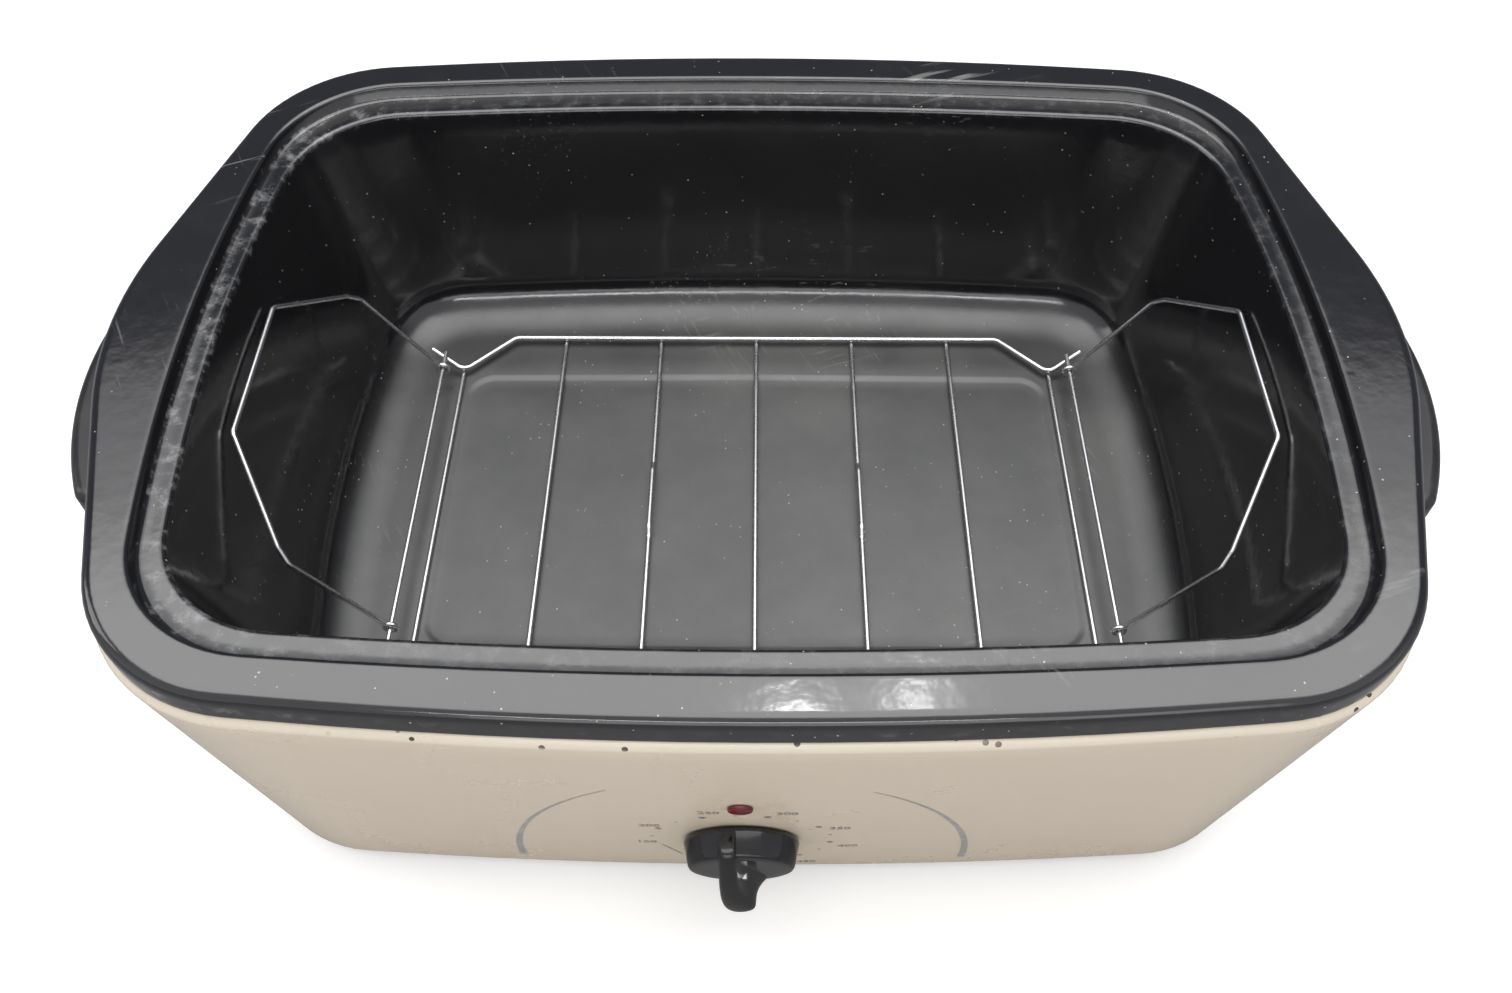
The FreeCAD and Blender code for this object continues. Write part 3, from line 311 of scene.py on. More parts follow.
def between(low_outline, low_z, high_outline, high_z, steps):
    """Rings up a straight wall, without its two ends."""
    return [low_outline.blend(high_outline, i / steps).ring(low_z + (high_z - low_z) * i / steps)
            for i in range(1, steps)]


def node(tree, kind, settings=None, **inputs):
    """Add a shader node, set its properties and fill its inputs with numbers or other sockets."""
    made = tree.nodes.new(kind)
    for key, setting in (settings or {}).items():
        setattr(made, key, setting)
    for key, given in inputs.items():
        name = key.replace("_", " ")
        socket = made.inputs[int(key[1:])] if key[0] == "i" and key[1:].isdigit() else made.inputs[name]
        if isinstance(given, bpy.types.NodeSocket):
            tree.links.new(given, socket)
        else:
            socket.default_value = given
    return made


def math_node(tree, operation, first, second=0.0, clamp=False):
    settings = {"operation": operation, "use_clamp": clamp}
    return node(tree, "ShaderNodeMath", settings, i0=first, i1=second).outputs[0]


def times(tree, first, second):
    return math_node(tree, "MULTIPLY", first, second)


def plus(tree, first, second, clamp=False):
    return math_node(tree, "ADD", first, second, clamp)


def opposite(tree, value):
    """One minus a value."""
    return math_node(tree, "SUBTRACT", 1.0, value)


def parts_of(tree, vector):
    """The X, Y and Z of a vector, as sockets."""
    return node(tree, "ShaderNodeSeparateXYZ", Vector=vector).outputs


def seen_directly(tree, path):
    """1 for a ray that comes from the camera, straight or through something clear."""
    through = path.outputs["Is Transmission Ray"]
    return math_node(tree, "MAXIMUM", path.outputs["Is Camera Ray"], through)


def ramp(tree, value, low, high):
    """A smooth step of a value from 0 at low to 1 at high."""
    made = node(tree, "ShaderNodeMapRange", {"interpolation_type": "SMOOTHSTEP"}, Value=value)
    made.inputs["From Min"].default_value = low
    made.inputs["From Max"].default_value = high
    return made.outputs["Result"]


def mix_colour(tree, share, first, second):
    """Mix two colours. Inputs 0, 6 and 7 of the node are its share and its two colours."""
    made = node(tree, "ShaderNodeMix", {"data_type": "RGBA"})
    for socket, given in ((made.inputs[0], share), (made.inputs[6], first), (made.inputs[7], second)):
        if isinstance(given, bpy.types.NodeSocket):
            tree.links.new(given, socket)
        elif isinstance(given, float):
            socket.default_value = given
        else:
            socket.default_value = (*given[:3], 1.0)
    return made.outputs[2]


def new_group(name, inputs, outputs):
    """A shader node group with named float inputs and outputs, and its input and output nodes."""
    group = bpy.data.node_groups.new(name, "ShaderNodeTree")
    group.interface.new_socket("Vector", in_out="INPUT", socket_type="NodeSocketVector")
    for key, default in inputs.items():
        socket = group.interface.new_socket(key, in_out="INPUT", socket_type="NodeSocketFloat")
        socket.default_value = default
    for key in outputs:
        group.interface.new_socket(key, in_out="OUTPUT", socket_type="NodeSocketFloat")
    return group, group.nodes.new("NodeGroupInput"), group.nodes.new("NodeGroupOutput")


def specks_group():
    """Small scattered specks: a mask that is 1 on each speck."""
    group, given, result = new_group("Specks", {"Scale": 200.0, "Size": 0.12, "Amount": 0.5}, ["Mask"])
    cells = node(group, "ShaderNodeTexVoronoi", {"feature": "F1"}, Vector=given.outputs["Vector"],
                 Scale=given.outputs["Scale"])
    patches = node(group, "ShaderNodeTexNoise", Vector=given.outputs["Vector"], Scale=31.0, Detail=3.0)
    spot = math_node(group, "LESS_THAN", cells.outputs["Distance"], given.outputs["Size"])
    chosen = node(group, "ShaderNodeSeparateColor", Color=cells.outputs["Color"]).outputs[0]
    some = math_node(group, "LESS_THAN", chosen, given.outputs["Amount"])
    near = ramp(group, patches.outputs[0], 0.42, 0.62)
    mask = times(group, times(group, spot, some), near)
    group.links.new(mask, result.inputs["Mask"])
    return group


def scratches_group():
    """Fine straight scratches along one direction, in patches."""
    group, given, result = new_group(
        "Scratches", {"Angle": 0.6, "Fineness": 300.0, "Patches": 9.0, "Cover": 0.6}, ["Mask"])
    turn = node(group, "ShaderNodeVectorRotate", {"rotation_type": "Z_AXIS"}, Vector=given.outputs["Vector"],
                Angle=given.outputs["Angle"])
    stretch = node(group, "ShaderNodeVectorMath", {"operation": "MULTIPLY"}, i0=turn.outputs[0],
                   i1=(0.06, 1.0, 1.0))
    lines = node(group, "ShaderNodeTexNoise", Vector=stretch.outputs[0], Scale=given.outputs["Fineness"],
                 Detail=2.0, Roughness=0.6)
    patch = node(group, "ShaderNodeTexNoise", Vector=given.outputs["Vector"], Scale=given.outputs["Patches"],
                 Detail=4.0)
    fine = ramp(group, lines.outputs[0], 0.60, 0.72)
    chosen = node(group, "ShaderNodeMapRange", {"interpolation_type": "SMOOTHSTEP"}, Value=patch.outputs[0])
    group.links.new(given.outputs["Cover"], chosen.inputs["From Min"])
    group.links.new(plus(group, given.outputs["Cover"], 0.12), chosen.inputs["From Max"])
    group.links.new(times(group, fine, chosen.outputs[0]), result.inputs["Mask"])
    return group


def film_group():
    """An uneven film, such as dust or wiped grease: cloudy from 0 to 1."""
    group, given, result = new_group("Film", {"Scale": 14.0, "Low": 0.35, "High": 0.75}, ["Mask"])
    cloud = node(group, "ShaderNodeTexNoise", Vector=given.outputs["Vector"], Scale=given.outputs["Scale"],
                 Detail=8.0, Roughness=0.62)
    made = node(group, "ShaderNodeMapRange", {"interpolation_type": "SMOOTHSTEP"}, Value=cloud.outputs[0])
    group.links.new(given.outputs["Low"], made.inputs["From Min"])
    group.links.new(given.outputs["High"], made.inputs["From Max"])
    group.links.new(made.outputs[0], result.inputs["Mask"])
    return group


GROUPS = {}


def effect(tree, name, vector, **inputs):
    """Place a shared effect group in a material and return its mask."""
    makers = {"Specks": specks_group, "Scratches": scratches_group, "Film": film_group}
    if name not in GROUPS:
        GROUPS[name] = makers[name]()
    made = tree.nodes.new("ShaderNodeGroup")
    made.node_tree = GROUPS[name]
    tree.links.new(vector, made.inputs["Vector"])
    for key, number in inputs.items():
        made.inputs[key].default_value = number
    return made.outputs["Mask"]


def new_material(name, **plain):
    """A material with its Principled BSDF, its tree and its object coordinates."""
    material = bpy.data.materials.new(name)
    material.use_nodes = True
    tree = material.node_tree
    shader = tree.nodes["Principled BSDF"]
    for key, number in plain.items():
        shader.inputs[key.replace("_", " ")].default_value = number
    vector = tree.nodes.new("ShaderNodeTexCoord").outputs["Object"]
    return material, tree, shader, vector


def feed(tree, shader, name, socket):
    tree.links.new(socket, shader.inputs[name])


def waves(tree, shader, vector, scale, strength, distance):
    """A slight unevenness of a coated or moulded surface."""
    noise = node(tree, "ShaderNodeTexNoise", Vector=vector, Scale=scale, Detail=2.0)
    bump = node(tree, "ShaderNodeBump", Strength=strength, Distance=distance, Height=noise.outputs[0])
    tree.links.new(bump.outputs[0], shader.inputs["Normal"])


def enamel_material():
    """Black porcelain enamel: glossy rim, worn pale ledge, dusty dull floor, specks and scratches."""
    material, tree, shader, vector = new_material("black_enamel", IOR=1.55, Specular_IOR_Level=0.75)
    across, _, height = parts_of(tree, vector)
    normal = parts_of(tree, tree.nodes.new("ShaderNodeNewGeometry").outputs["Normal"])
    level = ramp(tree, normal[2], 0.55, 0.95)
    low = opposite(tree, ramp(tree, height, 0.072, 0.110))
    floor = times(tree, low, level)
    ledge_low, ledge_high = DECK_Z - 12 * MM, DECK_Z - 7.0 * MM
    ledge = times(tree, ramp(tree, height, ledge_low, ledge_low + 3 * MM),
                  opposite(tree, ramp(tree, height, ledge_high, ledge_high + 1.5 * MM)))
    leftward = times(tree, ramp(tree, times(tree, across, -1.0), 0.16, 0.24), 0.55)
    worn = times(tree, ledge, effect(tree, "Film", vector, Scale=140.0, Low=0.46, High=0.84))
    worn = times(tree, worn, plus(tree, leftward, 0.18))
    dust = times(tree, floor, effect(tree, "Film", vector, Scale=9.0, Low=0.2, High=0.9))
    dust = times(tree, dust, 0.55)
    specks = effect(tree, "Specks", vector, Scale=230.0, Size=0.10, Amount=0.35)
    high = ramp(tree, height, DECK_Z - 1 * MM, DECK_Z - 0.5 * MM)
    marks = effect(tree, "Scratches", vector, Angle=-0.35, Fineness=260.0, Patches=7.0, Cover=0.60)
    marks = times(tree, marks, plus(tree, times(tree, high, 0.5), 0.25))
    hair = effect(tree, "Scratches", vector, Angle=1.1, Fineness=420.0, Patches=12.0, Cover=0.56)
    rubbed = effect(tree, "Scratches", vector, Angle=-0.45, Fineness=150.0, Patches=3.0, Cover=0.0)
    corner = node(tree, "ShaderNodeVectorMath", {"operation": "DISTANCE"}, i0=vector,
                  i1=(-0.262, 0.125, DECK_Z)).outputs["Value"]
    rubbed = times(tree, rubbed, opposite(tree, ramp(tree, corner, 0.03, 0.05)))
    marks = math_node(tree, "MAXIMUM", marks, times(tree, rubbed, high))
    wear = math_node(tree, "MAXIMUM", marks, times(tree, hair, 0.18))
    tone = mix_colour(tree, dust, colours().enamel, colours().dust)
    tone = mix_colour(tree, worn, tone, (0.42, 0.42, 0.43))
    tone = mix_colour(tree, wear, tone, (0.38, 0.37, 0.36))
    tone = mix_colour(tree, times(tree, specks, 0.7), tone, (0.55, 0.54, 0.50))
    feed(tree, shader, "Base Color", tone)
    smear = effect(tree, "Film", vector, Scale=20.0, Low=0.3, High=0.8)
    rough = plus(tree, times(tree, smear, 0.10), 0.10)
    rough = plus(tree, rough, times(tree, floor, 0.30))
    rough = plus(tree, rough, times(tree, worn, 0.25), clamp=True)
    feed(tree, shader, "Roughness", rough)
    waves(tree, shader, vector, 120.0, 0.22, 0.4 * MM)
    return material


def paint_material():
    """Almond stove paint with a faint mottle, small chips along the lip and a painted highlight: the top of
    the lip is made paler, standing in for the light on its rounded top.
    """
    material, tree, shader, vector = new_material("casing_paint", Coat_Weight=0.25, Coat_Roughness=0.12)
    height = parts_of(tree, vector)[2]
    near_lip = ramp(tree, height, LIP_TOP - 6 * MM, LIP_TOP - 3 * MM)
    mottle = effect(tree, "Film", vector, Scale=5.0, Low=0.3, High=0.8)
    chips = effect(tree, "Specks", vector, Scale=190.0, Size=0.24, Amount=0.22)
    chips = times(tree, chips, near_lip)
    tone = mix_colour(tree, times(tree, mottle, 0.35), colours().paint, (0.60, 0.51, 0.40))
    # Painted highlight: the band at the lip's top is mixed halfway towards pale cream, standing in for light
    # falling on the rounded lip.
    tone = mix_colour(tree, times(tree, near_lip, 0.5), tone, (0.82, 0.75, 0.62))
    tone = mix_colour(tree, chips, tone, (0.06, 0.05, 0.04))
    feed(tree, shader, "Base Color", tone)
    rough = plus(tree, times(tree, mottle, 0.04), 0.26)
    feed(tree, shader, "Roughness", rough)
    waves(tree, shader, vector, 45.0, 0.06, 0.3 * MM)
    return material


def chrome_material():
    """Bright plated wire, a little dulled in places."""
    material, tree, shader, vector = new_material("chrome_wire", Metallic=1.0)
    stain = effect(tree, "Film", vector, Scale=60.0, Low=0.45, High=0.8)
    feed(tree, shader, "Base Color", mix_colour(tree, stain, (0.66, 0.66, 0.67), (0.36, 0.34, 0.32)))
    feed(tree, shader, "Roughness", plus(tree, times(tree, stain, 0.2), 0.25))
    waves(tree, shader, vector, 300.0, 0.1, 0.05 * MM)
    return material


def moulded_material(name, colour, roughness, dust):
    """Moulded plastic or rubber with a fine surface and some dust in it."""
    material, tree, shader, vector = new_material(name)
    film = effect(tree, "Film", vector, Scale=35.0, Low=0.4, High=0.85)
    specks = effect(tree, "Specks", vector, Scale=500.0, Size=0.12, Amount=0.2)
    pale = [min(c + 0.16, 1.0) for c in colour]
    tone = mix_colour(tree, times(tree, film, dust), colour, pale)
    tone = mix_colour(tree, times(tree, specks, dust * 2), tone, (0.5, 0.5, 0.48))
    feed(tree, shader, "Base Color", tone)
    feed(tree, shader, "Roughness", plus(tree, times(tree, film, 0.15), roughness))
    waves(tree, shader, vector, 260.0, 0.08, 0.1 * MM)
    return material


def sheet_material(name, colour, roughness):
    """Plain or plated sheet steel with a rolled grain."""
    material, tree, shader, vector = new_material(name, Metallic=1.0)
    grain = effect(tree, "Scratches", vector, Angle=0.0, Fineness=420.0, Patches=4.0, Cover=0.35)
    stain = effect(tree, "Film", vector, Scale=16.0, Low=0.4, High=0.9)
    dark = [c * 0.6 for c in colour]
    feed(tree, shader, "Base Color", mix_colour(tree, times(tree, stain, 0.5), colour, dark))
    rough = plus(tree, times(tree, grain, 0.15), roughness)
    feed(tree, shader, "Roughness", plus(tree, rough, times(tree, stain, 0.1)))
    return material


def woven_material(name, colour):
    """Glass-fibre cloth or braid: a fine over-and-under weave."""
    material, tree, shader, vector = new_material(name, Roughness=0.85, Sheen_Weight=0.3)
    threads = [node(tree, "ShaderNodeTexWave", {"bands_direction": axis}, Vector=vector, Scale=180.0,
                    Distortion=1.0).outputs["Fac"] for axis in "XZ"]
    weave = times(tree, *threads)
    dark = [c * 0.72 for c in colour]
    feed(tree, shader, "Base Color", mix_colour(tree, weave, dark, colour))
    bump = node(tree, "ShaderNodeBump", Strength=0.5, Distance=0.3 * MM, Height=weave)
    tree.links.new(bump.outputs[0], shader.inputs["Normal"])
    return material


def lens_material():
    """Red moulded lens: dark and glossy while the lamp is off."""
    material, tree, shader, vector = new_material("red_lens", Coat_Weight=0.25, Coat_Roughness=0.08)
    film = effect(tree, "Film", vector, Scale=300.0, Low=0.3, High=0.8)
    deep = [c * 0.4 for c in colours().lens]
    feed(tree, shader, "Base Color", mix_colour(tree, film, colours().lens, deep))
    feed(tree, shader, "Roughness", plus(tree, times(tree, film, 0.1), 0.12))
    return material


def ink_material(name, colour):
    """Screen-printed ink, rubbed thin in places."""
    material, tree, shader, vector = new_material(name)
    rubbed = effect(tree, "Film", vector, Scale=260.0, Low=0.45, High=0.75)
    pale = [c + (p - c) * 0.55 for c, p in zip(colour, colours().paint)]
    feed(tree, shader, "Base Color", mix_colour(tree, rubbed, colour, pale))
    feed(tree, shader, "Roughness", plus(tree, times(tree, rubbed, 0.1), 0.35))
    return material


class ROASTER_OT_cookwell(bpy.types.Operator):
    """Draw the enamelled cookwell from one sheet: skirt, rolled rim, sunk ledge and tub"""
    bl_idname = "roaster.cookwell"
    bl_label = "Cookwell"

    def execute(self, context):
        wall, roll, fillet = sizes().pan_wall, sizes().pan_roll, sizes().pan_fillet
        skirt_z = DECK_Z - SKIRT_DEPTH
        ledge_z = DECK_Z - LEDGE_DEPTH
        edge = 2.2 * MM
        lean = 9
        floor_z = PAN_LOW.z + wall + PANEL_DEPTH
        rings = [RIM.ring(skirt_z + 0.1 * MM), RIM.ring(skirt_z + 1 * MM)]
        rings += profile_arc(RIM, roll, DECK_Z - roll, roll, 0, 90)
        rings += [RIM.inset(roll + 1 * MM).ring(DECK_Z),
                  RIM.blend(RISER, 0.5).ring(DECK_Z), RISER.inset(-edge - 1 * MM).ring(DECK_Z)]
        rings += profile_arc(RISER, -edge, DECK_Z - edge, -edge, -90, -20, 5)
        rings += [RISER.inset(0.5 * MM).ring(ledge_z + 1.4 * MM),
                  RISER.inset(1.4 * MM).ring(ledge_z + 0.4 * MM),
                  RISER.inset(2.6 * MM).ring(ledge_z), RISER.blend(MOUTH, 0.55).ring(ledge_z),
                  MOUTH.inset(-edge - 0.6 * MM).ring(ledge_z)]
        rings += profile_arc(MOUTH, -edge, ledge_z - edge, -edge, -90, -10, 5)
        reach = fillet * math.tan(math.radians((90 - lean) / 2))
        bottom = profile_arc(FOOT_LINE, reach, floor_z + fillet, fillet, -lean, -90, 9)
        wall_foot = FOOT_LINE.inset(reach - fillet * math.cos(math.radians(lean)))
        wall_z = floor_z + fillet * (1 - math.sin(math.radians(lean)))
        rings += between(MOUTH, ledge_z - edge - 1 * MM, wall_foot, wall_z, 8) + bottom
        floor_edge = FOOT_LINE.inset(reach)
        rings += [floor_edge.inset(2 * MM).ring(floor_z), floor_edge.blend(PANEL, 0.6).ring(floor_z),
                  PANEL.inset(-2.5 * MM).ring(floor_z), PANEL.inset(-1 * MM).ring(floor_z - 0.25 * MM),
                  PANEL.inset(0.4 * MM).ring(floor_z - 0.95 * MM),
                  PANEL.inset(2 * MM).ring(floor_z - PANEL_DEPTH),
                  PANEL.inset(8 * MM).ring(floor_z - PANEL_DEPTH)]
        pan = drawn_shell(rings, close_last=True)
        apply_modifier(pan, "SOLIDIFY", thickness=wall, offset=self.outer_side(pan), use_rim=True)
        smooth(pan, SHEET_SMOOTHING)
        settle(pan, "cookwell", enamel_material(), "cookwell", "black_enamel", "cookwell_pan")
        return {"FINISHED"}

    def outer_side(self, pan):
        """Which way Solidify has to grow the sheet so that the drawn face stays where it is."""
        top = max(pan.data.polygons, key=lambda face: (round(face.center.z, 4), face.area))
        return -1.0 if top.normal.z > 0 else 1.0


class ROASTER_OT_casing(bpy.types.Operator):
    """Draw the painted casing with its rounded lip and turned-in bottom edge"""
    bl_idname = "roaster.casing"
    bl_label = "Casing"

    def execute(self, context):
        base_round = 2 * MM
        rings = [BASE.inset(BOTTOM_LIP).ring(BASE_Z), BASE.inset(base_round + 0.5 * MM).ring(BASE_Z)]
        rings += profile_arc(casing_outline(BASE_Z + base_round), base_round, BASE_Z + base_round,
                             base_round, -90, 0, 4)
        low, high = BASE_Z + base_round, LIP_Z
        rings += between(casing_outline(low), low, casing_outline(high), high, 14)
        rings += profile_arc(casing_outline(high), LIP_RADIUS, high, LIP_RADIUS, 0, 90)
        rings += [casing_outline(high).inset(LIP_RADIUS + 1 * MM).ring(LIP_TOP),
                  casing_outline(high).inset(LIP_WIDTH).ring(LIP_TOP)]
        casing = drawn_shell(rings)
        outside = max(casing.data.polygons, key=lambda face: face.center.x)
        apply_modifier(casing, "SOLIDIFY", thickness=sizes().sheet_wall, use_rim=True,
                       offset=-1.0 if outside.normal.x > 0 else 1.0)
        smooth(casing, SHEET_SMOOTHING)
        settle(casing, "casing_shell", paint_material(), "root", "casing_paint", "casing")
        return {"FINISHED"}


class ROASTER_OT_dial_print(bpy.types.Operator):
    """Print the dial: plain numbers, marks and two tapered arcs on the casing's front"""
    bl_idname = "roaster.dial_print"
    bl_label = "Dial print"

    lift = 0.06 * MM
    depth = 0.05 * MM
    mark_step = 40.5
    marks = ((-64.5, 1.5 * MM), (-84.5, 0.7 * MM))
    text_size, text_weight, text_stretch = 5.8 * MM, 0.1 * MM, 1.1
    arc_start, arc_sweep = -1, 60
    numbers = (("150", -99, 44.5), ("200", -61, 46.5), ("250", -17, 47.5), ("300", 24, 49), ("350", 66, 48),
               ("400", 105, 51), ("450", 145, 54))

    def execute(self, context):
        ink = ink_material("dial_ink", colours().ink)
        pieces = [self.number(*number) for number in self.numbers]
        pieces += [self.dot(first + self.mark_step * i, radius) for first, radius in self.marks
                   for i in range(6)]
        pieces.append(self.bar(-37 * MM, -11.5 * MM, -28.5 * MM, -30 * MM, 0.8 * MM))
        self.join(pieces, "dial_numbers", ink)
        arcs = [self.tapered_arc(side) for side in (-1, 1)]
        self.join(arcs, "dial_arcs", ink_material("arc_ink", (0.30, 0.30, 0.295)))
        return {"FINISHED"}

    def spot(self, angle, radius):
        turned = math.radians(angle)
        return math.sin(turned) * radius, math.cos(turned) * radius

    def flat(self, corners):
        """A flat patch given by its corners on the dial, bent to the casing's front."""
        deselect()
        bpy.ops.mesh.primitive_circle_add(vertices=len(corners), radius=0.01, fill_type="NGON")
        obj = bpy.context.object
        for vert, corner in zip(obj.data.vertices, corners):
            vert.co = on_dial(*corner, self.lift)
        return obj

    def dot(self, angle, radius):
        across, up = self.spot(angle, sizes().dial_radius)
        ring = [(across + radius * math.cos(i * math.pi / 8), up + radius * math.sin(i * math.pi / 8))
                for i in range(16)]
        return self.flat(ring)

    def bar(self, x1, y1, x2, y2, width):
        along = Vector((x2 - x1, y2 - y1)).normalized()
        side = Vector((-along.y, along.x)) * width / 2
        start, end = Vector((x1, y1)), Vector((x2, y2))
        return self.flat([start - side, end - side, end + side, start + side])

    def number(self, text, angle, radius):
        """A plain number beside its mark, set level."""
        across, up = self.spot(angle, radius * MM)
        deselect()
        bpy.ops.object.text_add()
        obj = bpy.context.object
        obj.data.body = text
        obj.data.size = self.text_size
        obj.data.offset = self.text_weight
        obj.data.align_x = "CENTER"
        obj.data.align_y = "CENTER"
        obj.data.resolution_u = 4
        bpy.ops.object.convert(target="MESH")
        obj = bpy.context.object
        for vert in obj.data.vertices:
            vert.co = on_dial(across + vert.co.x * self.text_stretch, up + vert.co.y, self.lift)
        return obj

    def tapered_arc(self, side):
        """One arc of sixty degrees, thick at its foot and thin at its top."""
        deselect()
        steps = 40
        centre_up, half_width, half_height = -37 * MM, 105.5 * MM, 134 * MM
        bpy.ops.mesh.primitive_grid_add(x_subdivisions=1, y_subdivisions=steps, size=0.1)
        obj = bpy.context.object
        for vert in obj.data.vertices:
            share = vert.co.y / 0.1 + 0.5
            turned = math.radians(self.arc_start + self.arc_sweep * share)
            width = (3.6 - 3.1 * share) * MM
            grow = width * (0.5 if vert.co.x > 0 else -0.5)
            across = side * (half_width + grow) * math.cos(turned)
            up = centre_up + (half_height + grow) * math.sin(turned)
            vert.co = on_dial(across, up, self.lift)
        return obj

    def join(self, pieces, name, material):
        obj = join_pieces(pieces)
        bpy.ops.object.mode_set(mode="EDIT")
        bpy.ops.mesh.select_all(action="SELECT")
        bpy.ops.mesh.remove_doubles(threshold=0.01 * MM)
        bpy.ops.mesh.quads_convert_to_tris()
        bpy.ops.object.mode_set(mode="OBJECT")
        front = sum(face.normal.y * face.area for face in obj.data.polygons)
        if front > 0:
            obj.data.flip_normals()
        apply_modifier(obj, "SOLIDIFY", thickness=self.depth, offset=-1.0)
        settle(obj, name, material, "root", "casing_paint")


class ROASTER_OT_knob(bpy.types.Operator):
    """Turn the knob's skirted body and raise its curved grip"""
    bl_idname = "roaster.knob"
    bl_label = "Knob"

    def execute(self, context):
        radius = sizes().knob_radius
        profile = [(radius - 1.5 * MM, 0.9), (radius - 0.3 * MM, 1.0), (radius, 1.8),
                   (radius - 0.2 * MM, 3.0), (radius - 1.6 * MM, 9.0), (radius - 2.3 * MM, 12.2),
                   (radius - 3.0 * MM, 13.2), (radius - 4.2 * MM, 13.6), (radius - 9 * MM, 13.7),
                   (4 * MM, 13.7)]
        rings = [[self.local(r * math.cos(t), r * math.sin(t), h * MM)
                  for t in (2 * math.pi * i / 96 for i in range(96))] for r, h in profile]
        body = drawn_shell(rings, close_last=True, close_first=True)
        body = join_pieces([body, self.grip()])
        smooth(body, KNOB_SMOOTHING)
        material = moulded_material("knob_plastic", (0.008, 0.008, 0.009), 0.07, 0.05)
        settle(body, "dial_knob", material, "control", "knob_plastic", "knob")
        return {"FINISHED"}

    def local(self, across, up, out):
        return DIAL_CENTRE + DIAL_ACROSS * across + DIAL_UP * up + DIAL_NORMAL * out

    # Sections of the grip from its shallow end, high on the face, to its tip: height up the face, sides,
    # foot and crest over the casing, and how far the hollow right side runs out at its foot.
    sections = ((27.0, -8.4, -3.4, 1.6, 12.0, 0.2), (26.2, -9.8, -2.4, 1.6, 14.2, 0.3),
                (23.0, -10.0, -2.0, 6.0, 16.4, 0.6),
                (17.0, -10.0, -1.8, 11.5, 18.6, 1.5), (8.0, -10.0, -1.2, 11.5, 22.4, 4.0),
                (-1.0, -10.0, 0.2, 11.5, 25.4, 7.0), (-9.0, -9.8, 2.4, 11.5, 27.6, 9.0),
                (-15.0, -9.2, 4.8, 11.5, 28.6, 9.0), (-19.5, -8.0, 6.4, 12.0, 28.8, 5.0),
                (-23.0, -6.0, 7.0, 13.5, 28.0, 1.5), (-25.6, -3.2, 6.4, 16.0, 26.4, 0.5),
                (-26.6, -0.8, 5.0, 18.5, 24.4, 0.2))

    def grip(self):
        """A tall fin across the face, straight on its left, hollow on its right, ending in a round tip."""
        rings = []
        for up, left, right, foot, crest, run in self.sections:
            tall, wide = crest - foot, right - left
            shape = [(left, foot), (left, foot + tall * 0.35), (left, foot + tall * 0.7),
                     (left + wide * 0.08, crest - tall * 0.07), (left + wide * 0.35, crest),
                     (left + wide * 0.68, crest - tall * 0.01), (right, crest - tall * 0.10),
                     (right, foot + tall * 0.62), (right + run * 0.22, foot + tall * 0.36),
                     (right + run, foot + tall * 0.10), (right + run, foot), ((left + right) / 2, foot)]
            rings.append([self.local(across * MM, up * MM, out * MM) for across, out in shape])
        grip = drawn_shell(rings, close_last=True, close_first=True)
        apply_modifier(grip, "SUBSURF", levels=3)
        return grip


class ROASTER_OT_finishes(bpy.types.Operator):
    """Give every carried-over piece its own finish"""
    bl_idname = "roaster.finishes"
    bl_label = "Finishes"

    def execute(self, context):
        steel = sheet_material("plated_steel", (0.55, 0.55, 0.56), 0.32)
        alu = sheet_material("aluminised_steel", (0.66, 0.66, 0.67), 0.38)
        brass = sheet_material("brass", (0.72, 0.55, 0.25), 0.30)
        black = moulded_material("handle_plastic", colours().plastic, 0.28, 0.12)
        rubber = moulded_material("foot_rubber", (0.025, 0.025, 0.026), 0.55, 0.25)
        brown = moulded_material("phenolic", (0.11, 0.045, 0.02), 0.3, 0.1)
        ceramic = moulded_material("ceramic", (0.72, 0.70, 0.65), 0.5, 0.1)
        chrome = chrome_material()
        glass = moulded_material("lamp_glass", (0.75, 0.5, 0.35), 0.08, 0.05)
        finishes = {
            chrome: ["rack_side_rails", "rack_cross_wires", "rack_end_wires", "bail_left_wire",
                     "bail_right_wire"],
            black: ["handle_left", "handle_right", "cord_inlet_bush"],
            rubber: ["foot_front_left", "foot_front_right", "foot_back_left", "foot_back_right"],
            steel: ["base_plate", "base_screws", "foot_screws", "handle_screws", "band_clamp",
                    "shield_posts", "fuse_clip", "thermostat_nut", "thermostat_shaft", "pilot_clip",
                    "earth_stud"],
            alu: ["heating_well_liner", "heat_shield"],
            brass: ["heater_terminals", "terminal_screws"],
            brown: ["thermostat_body"],
            ceramic: ["thermal_fuse", "terminal_block"],
            woven_material("glass_sleeve", (0.72, 0.68, 0.58)): ["heater_band", "internal_leads"],
            woven_material("glass_blanket", (0.80, 0.74, 0.48)): ["insulation_blanket"],
            lens_material(): ["pilot_lens"],
            glass: ["pilot_lamp"],
        }
        for material, names in finishes.items():
            for name in names:
                for slot in frame["nodes"][name].material_slots:
                    slot.material = material
        return {"FINISHED"}


